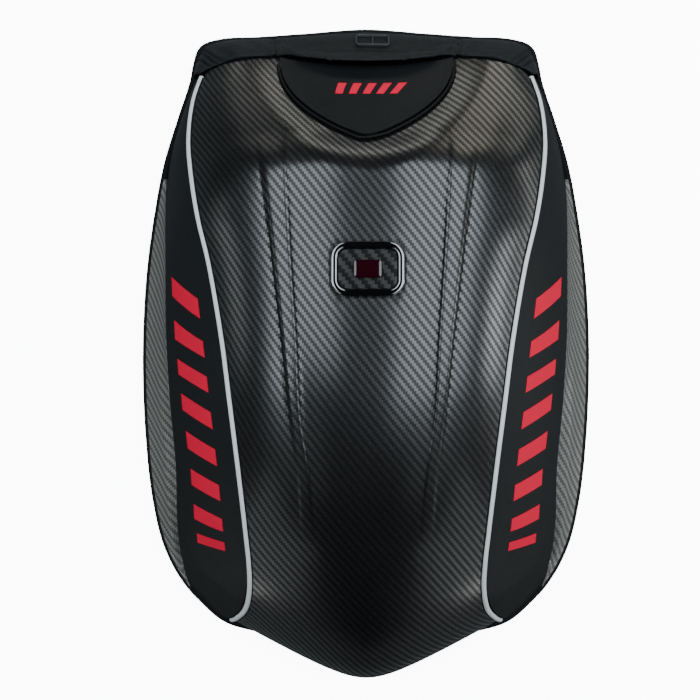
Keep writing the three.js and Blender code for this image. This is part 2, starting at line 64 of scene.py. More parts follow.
BADGE = {"y": 54.0, "width": 50.0, "height": 37.0, "radius": 11.0, "border": 4.5, "thick": 5.0, "bevel": 1.3}
BADGE_SEAT = {"depth": 1.7, "edge": 1.6, "reach": 12.0}
BADGE_PLATE_BEVEL = 0.4
LENS = {"width": 19.0, "height": 12.0, "radius": 2.0, "thick": 2.4, "bevel": 0.6, "crown": 0.25}

SIDE_PANEL = {"wall": 2.4, "from": 0.003, "to": 0.975, "bulge": 3.0, "full_width": 60.0}
SIDE_GRID = (186, 28)
TAIL_FOLD = {"at_piping": 0.779, "at_seam": 0.63, "reach": 0.06, "rise": 3.2}
SIDE_BARS = {"count": 8, "first": 0.345, "last": 0.605, "inner": 0.26, "outer": 0.8, "narrows": 0.02,
             "length": 0.017, "slant": 0.02, "rows": 5, "columns": 12}
PRINT = {"top": 0.25, "base": 0.03}  # heights over the panel

PIPING = {"radius": 1.9, "seat": 2.4, "from": 0.008, "to": 0.999, "points": 262, "sides": 20,
          "groove": 0.35, "lean": 0.004}
PIPING_TAPE = {"towards": np.array([0.0, -20.0, 25.0]), "below": 1.9, "radius": 2.7}
GROOVE_HALF_ANGLE = 0.22

GUSSET = {"wall": 2.2, "from": 0.188, "to": 0.735, "hollow": 3.0, "full_height": 40.0, "over_edge": 0.8}
GUSSET_GRID = (150, 22)
GUSSET_RECESS = {"from": (0.36, 0.56), "to": (0.655, 0.685), "at_seam": (0.0, 0.12),
                 "below_seam": (0.35, 0.6), "depth": 7.0}

BINDING = {"width": 6.0, "base": 14.0, "top": 25.6, "roundness": 0.55, "around": 420, "section": 24}
BINDING_WAVE = {"height": 0.22, "waves": 60, "beats": 7, "above": 0.2}
BINDING_STITCHES = {"inset": 0.9, "around": 600}
RIM_SAMPLES = 4001
RIM_HALF_SAMPLES = 400

# Pads are cut short by their room above and below, then filled; tuck is how far the back panel
# reaches into the binding before it is filled
BACK = {"base": 10.5, "top": 21.5, "tuck": 5.4, "around": 300, "room": 1.2, "cap": 4.0}
STRAP_PAD = {"thick": 10.0, "inset": 1.5, "rows": 80, "room": 1.0, "cap": 3.0}
PUFF = {"voxel": 5.0, "pressure": 4.0, "frames": 20}

ADJUSTER = {"width": 36.0, "height": 22.0, "radius": 4.0, "border": 3.5, "bar": 4.0, "thick": 5.0,
            "bevel": 1.0}
ADJUSTER_PLACE = (97.0, -131.5)
WEBBING = {"width": 25.0, "thick": 1.7, "from": (97.0, -148.0), "to": (112.0, -180.0),
           "sunk": 0.15, "ribs": 12, "rib": 0.12}
WEBBING_GRID = (20, 14)

SLIDER = {"width": 25.0, "height": 17.0, "radius": 3.5, "border": 1.4, "bar": 1.2, "thick": 2.0, "bevel": 0.6}
SLIDER_PLACE = {"x": 4.5, "down": 0.69, "lift": 0.3}
SLIDER_REACH = (0.3, 1.0, 60)  # stretch of the collar that it is measured along: from, to, points
BAR = {"lower": 0.4, "bevel": 0.5, "rounding": 3}
CORNER_POINTS = 12
EDGE_STEPS = 5
LEAST_RADIUS = {"plate": 0.3, "frame": 0.5}
PLATE_SHRINKS = (0.8, 0.5, 0.2)

FLAP = {"top": 209.5, "tip": 146.0, "half_width": 62.7, "lift": 0.8, "pillow": 3.4, "dip": 8.0,
        "inner": 2.2, "outer": 0.85, "wall": 2.4, "thinner": 0.1, "end": 0.985}
FLAP_GRID = (56, 80)
FLAP_HEM = {"at": 0.9, "width": 0.018, "depth": 0.18, "to": 0.9}
FLAP_BARS = {"count": 5, "first": -0.42, "last": 0.3, "upper": 0.3, "lower": 0.46, "width": 0.1,
             "slant": 0.5, "rows": 8, "columns": 6}
FLAP_CORD = {"radius": 0.9, "gap": 0.6, "from": 0.03, "short_of_tip": 0.999, "rows": 90, "every": 6,
             "points": 240, "up": (0.0, 0.25, 1.0)}

COLLAR_CLOTH = 1.2
COLLAR_GAPS = 3  # gaps between the shell's edge and the collar
COLLAR_NEARBY = 0.01  # step down the collar, to find a slope
COLLAR_ROWS = 60
COLLAR_COLUMNS = {"side": 130, "middle": 64}
COLLAR_LEAN = {"above": 8.0, "by": 1.12}
COLLAR_FOLD = {"at": 0.58, "width": 0.12}
COLLAR_PULL = {"inwards": 0.5, "down": 0.85}
COLLAR_SEAM = {"at": 3 / 7, "gap": 0.0006, "under": (0.012, 0.004), "tuck": 1.5, "dip": 1.1, "width": 0.012}
COLLAR_CREASE = {"at": 0.58, "rises": 1.1, "depth": 1.2, "width": 0.03, "fades": (0.36, 0.43)}
COLLAR_PLEATS = {"at": (0.71, 0.75, 0.82), "lean": 0.1, "depth": 1.6, "width": 0.013}
COLLAR_RIDGES = {"seed": 7, "count": 16, "at": (0.1, 1), "lean": (-0.25, 0.25), "width": (0.012, 0.03),
                 "height": (-0.8, 0.8), "start": (0.1, 0.18)}
COLLAR_HELD_POWER = 0.6
# Folds that run out from the sewn end of each collar seam: direction in radians, height
COLLAR_FAN = ((-1.2, 1.0), (-0.8, -1.3), (-0.4, 0.9), (0.45, 1.0), (0.8, -1.2), (1.1, 1.1), (1.35, -0.8))
COLLAR_FAN_SHAPE = {"half": 0.14, "fold": 0.13, "fades": 0.7, "starts": 0.15}
# Seam allowance under the shell: how far inwards and down each of its rows lies
COLLAR_ALLOWANCE = ((0.2, 2.0), (1.0, 4.2), (4.5, 7.0))
COLLAR_ALLOWANCE_X = 117.0  # it turns towards the shell's edge no further out than this
COLLAR_STITCHES = {"rows": slice(4, 56), "column": 5, "radius": 0.2}

STITCH = {"pitch": 3.4, "length": 2.3, "lift": 0.3, "sides": 6}
STITCH_SHAPE = ((-0.5, 0.35), (-0.36, 0.9), (0.0, 1.0), (0.36, 0.9), (0.5, 0.35))  # place along, fatness

# Sections of the shell, from the collar to the tail: piping, crest, outer seam, rib
STATIONS = np.array([
    [120, 201.5, 52, 212, 78, 127, 202, EDGE_Z, 58, 82, 0],
    [125.6, 180.3, 64, 183, 100, 135.5, 180, EDGE_Z, 58, 80, 0],
    [127.6, 150, 79, 153, 123.5, 144.8, 150, EDGE_Z, 57, 78, 0],
    [124.3, 121, 92, 128, 142, 149, 122, 29, 55.5, 74, 1.2],
    [118.9, 92, 101, 92, 147, 148.3, 92, 45, 53, 69.5, 2],
    [110.9, 60, 107, 56, 150.5, 147.2, 61, 55, 50.8, 65.5, 2.2],
    [101.4, 7, 113, 4, 151, 146, 7, 62, 47.4, 59.3, 2],
    [95.6, -38, 114, -42, 147.5, 143.2, -37, 64, 45.5, 54.5, 1.6],
    [90, -84, 111, -90, 138.5, 139.2, -86, 60, 40, 48, 0.6],
    [85.6, -127, 102, -136, 122.5, 139.2, -130, 48.5, 36, 46, 0],
    [83.7, -152, 92, -172, 104, 136.6, -157, 36.5, 34, 45, 0],
    [84, -172, 79, -200, 86, 131, -177, 26, 34, 45, 0],
    [88, -189, 61, -222.5, 67, 120, -190, EDGE_Z, 35, 47, 0],
    [95, -198, 44, -238.5, 50, 110, -199, EDGE_Z, 37, 50, 0],
    [99.5, -201.5, 32, -243.5, 38, 105, -202, EDGE_Z, 38, 52, 0],
    [101, -202, EDGE_Z, -231, EDGE_Z, 102.5, -202.5, EDGE_Z, 38, 52, 0],
])
# Right half of the bound edge, from the collar to the tail
RIM = np.array([
    [0, 237], [44, 234], [80, 231.5], [108, 230], [122.5, 225], [127, 213], [129.5, 200], [139, 171],
    [149, 138], [156.5, 98], [162, 55], [164.7, 0], [163, -60], [157.5, -112], [149, -147], [136, -172],
    [121, -189], [104.5, -202.5], [75, -211.2], [50, -219.7], [25, -227.2], [0, -231],
])
# Right half of the collar: sewn x, rim x, rim y, rise of the roll, depth of the fold, depth of the pleat
COLLAR = np.array([
    [0, 0, 237, 58, 4, 0], [24, 25.5, 235.6, 53, 4.5, 0], [46, 48.5, 233.9, 36, 3.5, 0],
    [66, 69, 232.3, 8, 1, 1.5], [92, 103, 230.4, 7, 0, 0],
    [109, 120.5, 226.2, 6, 0, 2.5], [117, 126.3, 215, 5, 0, 0], [120, 128.8, 203, 4, 0, 0],
])
# Right shoulder pad, along its middle: x, y, width
STRAP = np.array([
    [50, 205, 60], [56, 150, 62], [72, 90, 64], [90, 30, 62], [99, -30, 58], [100, -85, 52], [97, -118, 46],
])

# Looks
DUST = 0.012
DUST_WARM = (0.12, 0.115, 0.11)
DUST_GREY = (0.1, 0.1, 0.1)
DUST_COOL = (0.1, 0.1, 0.105)
WEFT_GLOSS = 0.3  # share of the warp's gloss that the crossing threads have
TWILL_REPEAT = 4.0
TWILL_FLOAT = 2.0  # how many threads each thread passes over
THREAD_ROUND = {"across": 0.45, "along": 0.55}
CREASE_SHADE_DOTS = 0.8  # how much the warp threads break up the painted shade in a crease
CREASE_SHADE_DULL = 0.85  # how much gloss the painted shade takes away in a crease
TWILL_BUMP = {"strength": 0.5, "depth": 0.0004}
GRAIN_BUMP = {"strength": 0.2, "depth": 0.0003}
NYLON_BUMP = {"strength": 0.5, "depth": 0.0003}
GRAIN_NOISE = {"scale": 0.35, "weight": 0.5}
# Painted shade in the grain's pits: the share of the colour that is left there
PIT_SHADE = 0.6
THREAD_SHADE = 0.65
RUB_ROUGHENS = {"twill": 0.08, "grain": 0.12, "nylon": 0.1}

CAMERA = {"x": -12.0, "y": -0.7, "z": 1300.0, "lens": 87.5, "sensor": 36}
# Floor, sky and lights, in metres and watts
BACKDROP = 10.0  # brightness of floor and sky, to the camera only
SKY_GLOW = 0.008
FLOOR_REACH = 6.0
FLOOR_BOUNCE = (0.09, 0.09, 0.09)
FLOOR_SEEN = (0.85, 0.85, 0.85)
MIDDLE = (0, 0, 0.08)
LIGHTS = (  # name, place, target, size, power, colour
    ("softbox_left", (-1.4, 0.83, 1.75), (-1.4, 0.83, 0), (2.3, 2.1), 95, (0.84, 0.95, 1.0)),
    ("softbox_left_low", (-2.0, -0.4, 1.75), (-2.0, -0.4, 0), (1.3, 0.36), 13, (0.84, 0.95, 1.0)),
    ("softbox_right", (1.6, 0.85, 1.75), (1.6, 0.85, 0), (2.7, 2.75), 160, (0.85, 0.94, 1.0)),
    ("top_front_left", (-1.35, -1.05, 1.75), (-1.35, -1.05, 0), (1.5, 1.0), 1.9, (0.9, 0.97, 1.0)),
    ("top_front_right", (1.35, -1.05, 1.75), (1.35, -1.05, 0), (1.5, 1.0), 2.5, (0.9, 0.97, 1.0)),
    ("fill_left", (-1.3, 2.4, 1.2), MIDDLE, (1.0, 0.8), 0.9, (0.9, 0.97, 1.0)),
    ("fill_right", (1.3, 2.4, 1.2), MIDDLE, (1.0, 0.8), 1.1, (0.95, 0.98, 1.0)),
    ("window_left", (-0.95, 1.8, 0.2), MIDDLE, (0.7, 0.3), 0.5, (1.0, 0.97, 0.95)),
    ("window_right", (0.95, 1.8, 0.2), MIDDLE, (0.7, 0.3), 2.8, (1.0, 0.95, 0.76)),
    ("low_strip", (0.2, 0.65, 0.03), (0.2, 0, 0.1), (1.2, 0.05), 1.0, (1.0, 0.97, 0.88)),
    ("low_right", (0.85, 0.05, 0.04), (0, 0.05, 0.08), (0.9, 0.07), 1.2, (1.0, 1.0, 0.97)),
    ("low_front_left", (-0.72, -0.7, 0.04), (-0.1, -0.1, 0.06), (0.6, 0.07), 1.1, (1.0, 1.0, 0.96)),
    ("low_front_right", (0.72, -0.7, 0.04), (0.1, -0.1, 0.06), (0.6, 0.07), 1.2, (1.0, 1.0, 0.96)),
    ("side_left", (-1.9, 0.1, 0.45), MIDDLE, (0.55, 0.35), 2, (0.9, 0.97, 1.0)),
    ("side_right", (1.9, -0.06, 0.45), MIDDLE, (0.4, 0.4), 7, (0.9, 0.96, 1.0)),
    ("front_left", (-1.35, -1.5, 0.6), MIDDLE, (1.4, 1.1), 4.6, (0.9, 0.97, 1.0)),
    ("front_right", (1.35, -1.5, 0.6), MIDDLE, (1.4, 1.1), 5.5, (0.9, 0.97, 1.0)),
)


class Line:
    """A smooth line through points, by the centripetal Catmull-Rom rule."""

    def __init__(self, points, closed=False):
        points = np.asarray(points, float)
        self.spans = len(points) if closed else len(points) - 1
        if closed:
            self.points = np.vstack([points[-1:], points, points[:2]])
        else:
            self.points = np.vstack([2 * points[0] - points[1], points, 2 * points[-1] - points[-2]])

    def at(self, share):
        place = np.clip(np.asarray(share, float), 0, 1) * self.spans
        first = np.minimum(place.astype(int), self.spans - 1)
        weight = (place - first)[..., None]
        a, b, c, d = (self.points[first + k] for k in range(4))
        before, here, after = (self.knot_gap(p, q) for p, q in ((a, b), (b, c), (c, d)))
        start = ((b - a) / before - (c - a) / (before + here) + (c - b) / here) * here
        end = ((c - b) / here - (d - b) / (here + after) + (d - c) / after) * here
        return (b + start * weight + (3 * (c - b) - 2 * start - end) * weight**2
                + (2 * (b - c) + start + end) * weight**3)

    @staticmethod
    def knot_gap(p, q):
        return np.maximum(((q - p) ** 2).sum(-1, keepdims=True) ** 0.25, 1e-4)


PIPE_LINE = Line(STATIONS[:, 0:3])
CREST_LINE = Line(np.column_stack([np.zeros(len(STATIONS)), STATIONS[:, 3:5]]))
SEAM_LINE = Line(STATIONS[:, 5:8])
RIB_LINE = Line(STATIONS[:, 8:11])
COLLAR_RIM = Line(COLLAR[:, 1:4])
COLLAR_DRAPE = Line(COLLAR[:, [0, 4, 5]])
STRAP_LINE = Line(STRAP)
RIM_LINE = Line(np.vstack([RIM, RIM[-2:0:-1] * [-1, 1]]), closed=True)
RIM_HALF = Line(RIM).at(np.linspace(0, 1, RIM_HALF_SAMPLES))


def unit(vectors):
    return vectors / np.maximum(np.linalg.norm(vectors, axis=-1, keepdims=True), 1e-9)


def smoothstep(value, low, high):
    t = np.clip((value - low) / (high - low), 0, 1)
    return t * t * (3 - 2 * t)


def bell(value, middle, width):
    """1 at the middle, and smoothly down to 0 on both sides."""
    return np.exp(-(((value - middle) / width) ** 2))


# The shell's skin

def shell(along, x):
    """Outer skin, along 0 at the collar to 1 at the tail, x across."""
    along, x = np.broadcast_arrays(np.asarray(along, float), np.asarray(x, float))
    pipe, crest, rib = PIPE_LINE.at(along), CREST_LINE.at(along), RIB_LINE.at(along)
    share = np.minimum(1, np.abs(x) / pipe[..., 0])
    tail = np.minimum(1, 2 * along)
    blunt = (np.hypot(share, TAIL_ROUNDING) - TAIL_ROUNDING) / (math.hypot(1, TAIL_ROUNDING) - TAIL_ROUNDING)
    bowed = (1 - tail) * share**CORNER_POWER + tail * blunt
    y = crest[..., 1] + (pipe[..., 1] - crest[..., 1]) * bowed
    on_rib = np.clip((np.abs(x) - rib[..., 0]) / (rib[..., 1] - rib[..., 0]), 0, 1)
    raised = rib[..., 2] * (1 - np.abs(2 * on_rib - 1) ** RIB_POWER)
    dish_x = np.abs(x / DISH["half_width"]) ** DISH["power"]
    dish_y = np.abs((y - DISH["y"]) / DISH["half_length"]) ** DISH["power"]
    from_dish = (dish_x + dish_y) ** (1 / DISH["power"])
    dished = DISH["depth"] * (1 - smoothstep(from_dish, DISH["floor"], 1))
    dome = (crest[..., 2] - pipe[..., 2]) * (1 - share**DOME_POWER)
    return np.stack([x, y, pipe[..., 2] + dome + raised - dished], -1)


def shell_at(x, y):
    """Point of the outer skin over x and y, found by halving."""
    x, y = np.broadcast_arrays(np.asarray(x, float), np.asarray(y, float))
    above, below = np.zeros(x.shape), np.ones(x.shape)
    for _ in range(SEARCH_STEPS):
        middle = (above + below) / 2
        higher = shell(middle, x)[..., 1] > y
        above, below = np.where(higher, middle, above), np.where(higher, below, middle)
    return shell(above, x)


def above_shell(x, y, lift):
    point = shell_at(x, y)
    out = np.cross(shell_at(x + 1, y) - point, shell_at(x, y + 1) - point)
    return point + unit(out) * np.asarray(lift, float)[..., None]


# Meshes

def grid_normals(grid):
    down = np.vstack([grid[1:2] - grid[:1], grid[2:] - grid[:-2], grid[-1:] - grid[-2:-1]])
    first, last = grid[:, 1:2] - grid[:, :1], grid[:, -1:] - grid[:, -2:-1]
    across = np.hstack([first, grid[:, 2:] - grid[:, :-2], last])
    return unit(np.cross(down, across))


def arc_lengths(grid, from_row):
    """How far each point lies across and up the cloth, measured along the surface from one row."""
    across = np.cumsum(np.linalg.norm(np.diff(grid, axis=1, prepend=grid[:, :1]), axis=-1), axis=1)
    down = np.cumsum(np.linalg.norm(np.diff(grid, axis=0, prepend=grid[:1]), axis=-1), axis=0)
    across = across - across[:, grid.shape[1] // 2][:, None]
    return np.stack([across, down[from_row] - down], -1)


def mirrored(grid):
    return grid[:, ::-1] * [-1, 1, 1]


def tangents(path, closed=False):
    if closed:
        return unit(np.roll(path, -1, 0) - np.roll(path, 1, 0))
    return unit(np.gradient(path, axis=0))


def run_along(path):
    """Distance of each point from the path's start."""
    return np.concatenate([[0], np.cumsum(np.linalg.norm(np.diff(path, axis=0), axis=1))])


def strip(a, b, closed=False):
    """Quads between two rows of point numbers."""
    if closed:
        a, b = np.append(a, a[0]), np.append(b, b[0])
    return np.column_stack([a[:-1], b[:-1], b[1:], a[1:]])


def ring_faces(number, loop=False, flip=False):
    """Quads between each ring of point numbers and the next; in a loop, the last ring meets the first."""
    following = np.roll(number, -1, axis=0) if loop else number[1:]
    faces = np.vstack([strip(a, b, closed=True) for a, b in zip(number, following)])
    return (faces[:, ::-1] if flip else faces).tolist()


def wall_faces(rows, cols, base=0):
    """Quads of a closed wall: a grid of points, the same grid under it, and the edge between them."""
    number = base + np.arange(rows * cols).reshape(rows, cols)
    under = number + rows * cols
    faces = [strip(a, b) for a, b in zip(number, number[1:])]
    faces += [strip(b, a) for a, b in zip(under, under[1:])]
    edge = np.concatenate([number[0], number[1:, -1], number[-1, -2::-1], number[-2:0:-1, 0]])
    faces.append(strip(edge, edge + rows * cols, closed=True)[:, ::-1])
    return np.vstack(faces)


def make_piece(name, points, faces, material, stands_for=(), weave=None, crease=None, sharp_degrees=45):
    """A mesh piece of the bag; weave places its threads, crease marks its creases, where the twill material
    paints shade.
    """
    mesh = bpy.data.meshes.new(name)
    points = (np.asarray(points) + [0, CENTRING, 0]) * MM
    mesh.from_pydata(points.tolist(), [], [list(map(int, face)) for face in faces])
    if weave is not None:
        layer = mesh.uv_layers.new(name="weave")
        corner = np.zeros(len(mesh.loops), int)
        mesh.loops.foreach_get("vertex_index", corner)
        layer.data.foreach_set("uv", np.asarray(weave)[corner].astype(np.float32).ravel())
    if crease is not None:
        mask = mesh.attributes.new("crease", "FLOAT", "POINT")
        mask.data.foreach_set("value", np.asarray(crease).astype(np.float32))
    solid = bmesh.new()
    solid.from_mesh(mesh)
    bmesh.ops.recalc_face_normals(solid, faces=solid.faces)
    solid.to_mesh(mesh)
    solid.free()
    mesh.shade_smooth()
    mesh.set_sharp_from_angle(angle=math.radians(sharp_degrees))
    mesh.materials.append(material)
    piece = bpy.data.objects.new(name, mesh)
    bpy.context.scene.collection.objects.link(piece)
    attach(piece, "root")
    if stands_for:
        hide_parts(*stands_for)
    return piece


def wall_piece(name, grid, thick, material, stands_for, weave_row=0, crease=None):
    """A closed wall of even thickness under a grid that runs down the bag and across to +X."""
    inner = grid - grid_normals(grid) * thick
    points = np.vstack([grid.reshape(-1, 3), inner.reshape(-1, 3)])
    weave = np.tile(arc_lengths(grid, weave_row).reshape(-1, 2), (2, 1))
    return make_piece(name, points, wall_faces(*grid.shape[:2]), material, stands_for, weave, crease)


def both_sides(name, grid, thick, material, node):
    wall_piece(f"{name}_right", grid, thick, material, [f"{node}_right"])
    wall_piece(f"{name}_left", mirrored(grid), thick, material, [f"{node}_left"])


def tube_piece(name, path, radius, up, material, sides=16, groove=0.0, stands_for=()):
    """A round trim along a path, with an optional groove along its top."""
    tangent = tangents(path)
    side = unit(np.cross(tangent, up))
    top = np.cross(side, tangent)
    angle = np.linspace(0, 2 * math.pi, sides, endpoint=False)
    from_top = np.mod(angle + math.pi / 2, 2 * math.pi) - math.pi
    reach = radius - groove * bell(from_top, 0, GROOVE_HALF_ANGLE)
    spokes = side[:, None] * np.cos(angle)[:, None] + top[:, None] * np.sin(angle)[:, None]
    rings = path[:, None] + spokes * reach[:, None]
    number = np.arange(len(path) * sides).reshape(len(path), sides)
    faces = ring_faces(number, flip=True) + [list(number[0]), list(number[-1][::-1])]
    make_piece(name, rings.reshape(-1, 3), faces, material, stands_for, sharp_degrees=60)


def rounded_rect(width, height, radius):
    """Outline points, counter-clockwise."""
    points = []
    for k, (sx, sy) in enumerate(((1, 1), (-1, 1), (-1, -1), (1, -1))):
        angle = math.pi / 2 * (k + np.linspace(0, 1, CORNER_POINTS))
        centre = np.array([sx * (width / 2 - radius), sy * (height / 2 - radius)])
        points.append(centre + radius * np.column_stack([np.cos(angle), np.sin(angle)]))
    return np.vstack(points)


def rounded_edge(size):
    """Inset and height of each ring round an upper edge, from the outside to the top."""
    bevel = size["bevel"]
    shoulder = size["thick"] - bevel
    arc = np.linspace(0, math.pi / 2, EDGE_STEPS)
    return [(bevel * (1 - math.cos(a)), shoulder + bevel * math.sin(a)) for a in arc]


def outline_rings(size, profile, least_radius):
    """The outline of a plate or frame, at each inset and height of a profile."""
    rings = []
    for inset, z in profile:
        radius = max(size["radius"] - inset, least_radius)
        outline = rounded_rect(size["width"] - 2 * inset, size["height"] - 2 * inset, radius)
        rings.append(np.column_stack([outline, np.full(len(outline), z)]))
    return rings


def plate_rings(size):
    """Rings of a plate with a rounded upper edge, from its base to its top."""
    return outline_rings(size, [(0.0, 0.0)] + rounded_edge(size), LEAST_RADIUS["plate"])


def frame_rings(size):
    """Rings of a rounded frame: up the outside, over the top, down the inside."""
    outside = [(0.0, 0.0)] + rounded_edge(size)
    inside = [(size["border"] - inset, z) for inset, z in reversed(outside)]
    return outline_rings(size, outside + inside, LEAST_RADIUS["frame"])


def placed(points, place):
    """Points moved by a matrix, or by a function of points."""
    if callable(place):
        return place(points)
    flat = np.column_stack([points, np.ones(len(points))])
    return (flat @ np.array(place).T)[:, :3]


def plate_piece(name, size, place, material, node):
    """A plate, its top raised by a crown where the size has one."""
    rings = plate_rings(size)
    top = rings[-1]
    for shrink in PLATE_SHRINKS:
        ring = top * [shrink, shrink, 1]
        ring[:, 2] += size.get("crown", 0.0) * (1 - shrink**2)
        rings.append(ring)
    points = np.vstack(rings)
    number = np.arange(len(points)).reshape(len(rings), -1)
    faces = ring_faces(number) + [list(number[-1]), list(number[0])]
    make_piece(name, placed(points, place), faces, material, [node], weave=points[:, :2])


def frame_piece(name, size, place, material, node):
    """A rounded frame, with a bar down its middle where the size has one."""
    rings = frame_rings(size)
    points = np.vstack(rings)
    number = np.arange(len(points)).reshape(len(rings), -1)
    faces = ring_faces(number, loop=True, flip=True)
    if "bar" in size:
        bar = {"width": size["bar"], "height": size["height"] - 2 * size["border"],
               "radius": size["bar"] / BAR["rounding"], "thick": size["thick"] - BAR["lower"],
               "bevel": BAR["bevel"]}
        bar_points = np.array(plate_rings(bar))
        number = len(points) + np.arange(bar_points[..., 0].size).reshape(len(bar_points), -1)
        points = np.vstack([points, *bar_points])
        faces += ring_faces(number, flip=True) + [list(number[-1]), list(number[0][::-1])]
    make_piece(name, placed(points, place), faces, material, [node], weave=points[:, :2])


def stitches_piece(name, path, out, radius=0.32):
    """A row of thread stitches along a path that lies on a surface."""
    distance = run_along(path)
    starts = np.arange(STITCH["pitch"], distance[-1] - STITCH["pitch"], STITCH["pitch"])
    centre, along, up = (
        np.column_stack([np.interp(starts, distance, values[:, k]) for k in range(3)])
        for values in (path, tangents(path), out)
    )
    along, up = unit(along), unit(up)
    side = np.cross(along, up)
    angles = np.linspace(0, 2 * math.pi, STITCH["sides"], endpoint=False)
    points, faces = [], []
    for c, a, s, u in zip(centre, along, side, up):
        number = len(points) + np.arange(len(STITCH_SHAPE) * len(angles)).reshape(len(STITCH_SHAPE), -1)
        for end, fat in STITCH_SHAPE:
            for angle in angles:
                spoke = s * math.cos(angle) + u * (math.sin(angle) + STITCH["lift"])
                points.append(c + a * end * STITCH["length"] + radius * fat * spoke)
        faces += ring_faces(number, flip=True) + [list(number[0]), list(number[-1][::-1])]
    make_piece(name, np.array(points), faces, THREAD, sharp_degrees=80)


# Material groups

def new_group(name, inputs, outputs):
    group = bpy.data.node_groups.new(name, "ShaderNodeTree")
    for socket, kind, default in inputs:
        made = group.interface.new_socket(name=socket, in_out="INPUT", socket_type=kind)
        if default is not None:
            made.default_value = default
    for socket in outputs:
        group.interface.new_socket(name=socket, in_out="OUTPUT", socket_type="NodeSocketFloat")
    enter = group.nodes.new("NodeGroupInput")
    leave = group.nodes.new("NodeGroupOutput")
    return group, enter, leave


def math_node(tree, operation, *values):
    node = tree.nodes.new("ShaderNodeMath")
    node.operation = operation
    for socket, value in zip(node.inputs, values):
        if isinstance(value, bpy.types.NodeSocket):
            tree.links.new(value, socket)
        else:
            socket.default_value = value
    return node.outputs[0]


def hump(tree, value):
    """1 in the middle of a unit stretch and 0 at both ends."""
    offset = math_node(tree, "MULTIPLY_ADD", value, 2.0, -1.0)
    return math_node(tree, "SUBTRACT", 1.0, math_node(tree, "MULTIPLY", offset, offset))


def thread_height(tree, across, along):
    """Height of a thread that is round across and bends along its length, both from 0 to 1."""
    rounded = math_node(tree, "MULTIPLY", hump(tree, across), THREAD_ROUND["across"])
    bent = math_node(tree, "MULTIPLY", hump(tree, along), THREAD_ROUND["along"])
    return math_node(tree, "ADD", rounded, bent)


def twill_group():
    """Two-by-two twill: which thread is on top, and how high it stands."""
    sockets = [("Place", "NodeSocketVector", None), ("Cell Across", "NodeSocketFloat", 1.5),
               ("Cell Along", "NodeSocketFloat", 1.9)]
    group, enter, leave = new_group("twill_weave", sockets, ["Warp", "Height"])
    split = group.nodes.new("ShaderNodeSeparateXYZ")
    group.links.new(enter.outputs["Place"], split.inputs[0])
    a = math_node(group, "DIVIDE", split.outputs[0], enter.outputs["Cell Across"])
    b = math_node(group, "DIVIDE", split.outputs[1], enter.outputs["Cell Along"])
    i, j = math_node(group, "FLOOR", a), math_node(group, "FLOOR", b)
    in_a, in_b = math_node(group, "SUBTRACT", a, i), math_node(group, "SUBTRACT", b, j)
    step = math_node(group, "FLOORED_MODULO", math_node(group, "ADD", i, j), TWILL_REPEAT)
    warp = math_node(group, "LESS_THAN", step, TWILL_FLOAT - 0.5)
    weft_step = math_node(group, "SUBTRACT", step, TWILL_FLOAT)
    warp_float = math_node(group, "DIVIDE", math_node(group, "ADD", step, in_b), TWILL_FLOAT)
    weft_float = math_node(group, "DIVIDE", math_node(group, "ADD", weft_step, in_a), TWILL_FLOAT)
    warp_height = math_node(group, "MULTIPLY", warp, thread_height(group, in_a, warp_float))
    weft = math_node(group, "SUBTRACT", 1.0, warp)
    weft_height = math_node(group, "MULTIPLY", weft, thread_height(group, in_b, weft_float))
    group.links.new(warp, leave.inputs["Warp"])
    group.links.new(math_node(group, "ADD", warp_height, weft_height), leave.inputs["Height"])
    return group


def grain_group():
    """Fine pebbled grain of leatherette and moulded plastic."""
    sockets = [("Grain Size", "NodeSocketFloat", 900.0)]
    group, enter, leave = new_group("pebble_grain", sockets, ["Height", "Pits"])
    place = group.nodes.new("ShaderNodeTexCoord")
    cells = group.nodes.new("ShaderNodeTexVoronoi")
    cells.feature = "SMOOTH_F1"
    group.links.new(place.outputs["Object"], cells.inputs["Vector"])
    group.links.new(enter.outputs["Grain Size"], cells.inputs["Scale"])
    noise = group.nodes.new("ShaderNodeTexNoise")
    noise.inputs["Detail"].default_value = 3
    group.links.new(place.outputs["Object"], noise.inputs["Vector"])
    scale = math_node(group, "MULTIPLY", enter.outputs["Grain Size"], GRAIN_NOISE["scale"])
    group.links.new(scale, noise.inputs["Scale"])
    pebbles = math_node(group, "SUBTRACT", 1.0, cells.outputs["Distance"])
    uneven = math_node(group, "MULTIPLY", noise.outputs["Fac"], GRAIN_NOISE["weight"])
    group.links.new(math_node(group, "ADD", pebbles, uneven), leave.inputs["Height"])
    group.links.new(cells.outputs["Distance"], leave.inputs["Pits"])
    return group


def nylon_group():
    """Plain weave of fine nylon, as two crossing sets of threads."""
    sockets = [("Threads per Metre", "NodeSocketFloat", 1500.0)]
    group, enter, leave = new_group("nylon_weave", sockets, ["Height", "Thread"])
    place = group.nodes.new("ShaderNodeTexCoord")
    split = group.nodes.new("ShaderNodeSeparateXYZ")
    group.links.new(place.outputs["Object"], split.inputs[0])
    waves = []
    for axis in (split.outputs[0], math_node(group, "ADD", split.outputs[1], split.outputs[2])):
        count = math_node(group, "MULTIPLY", axis, enter.outputs["Threads per Metre"])
        waves.append(math_node(group, "SINE", math_node(group, "MULTIPLY", count, math.pi)))
    thread = math_node(group, "MULTIPLY", *waves)
    group.links.new(math_node(group, "ABSOLUTE", thread), leave.inputs["Height"])
    group.links.new(math_node(group, "MULTIPLY_ADD", thread, 0.5, 0.5), leave.inputs["Thread"])
    return group


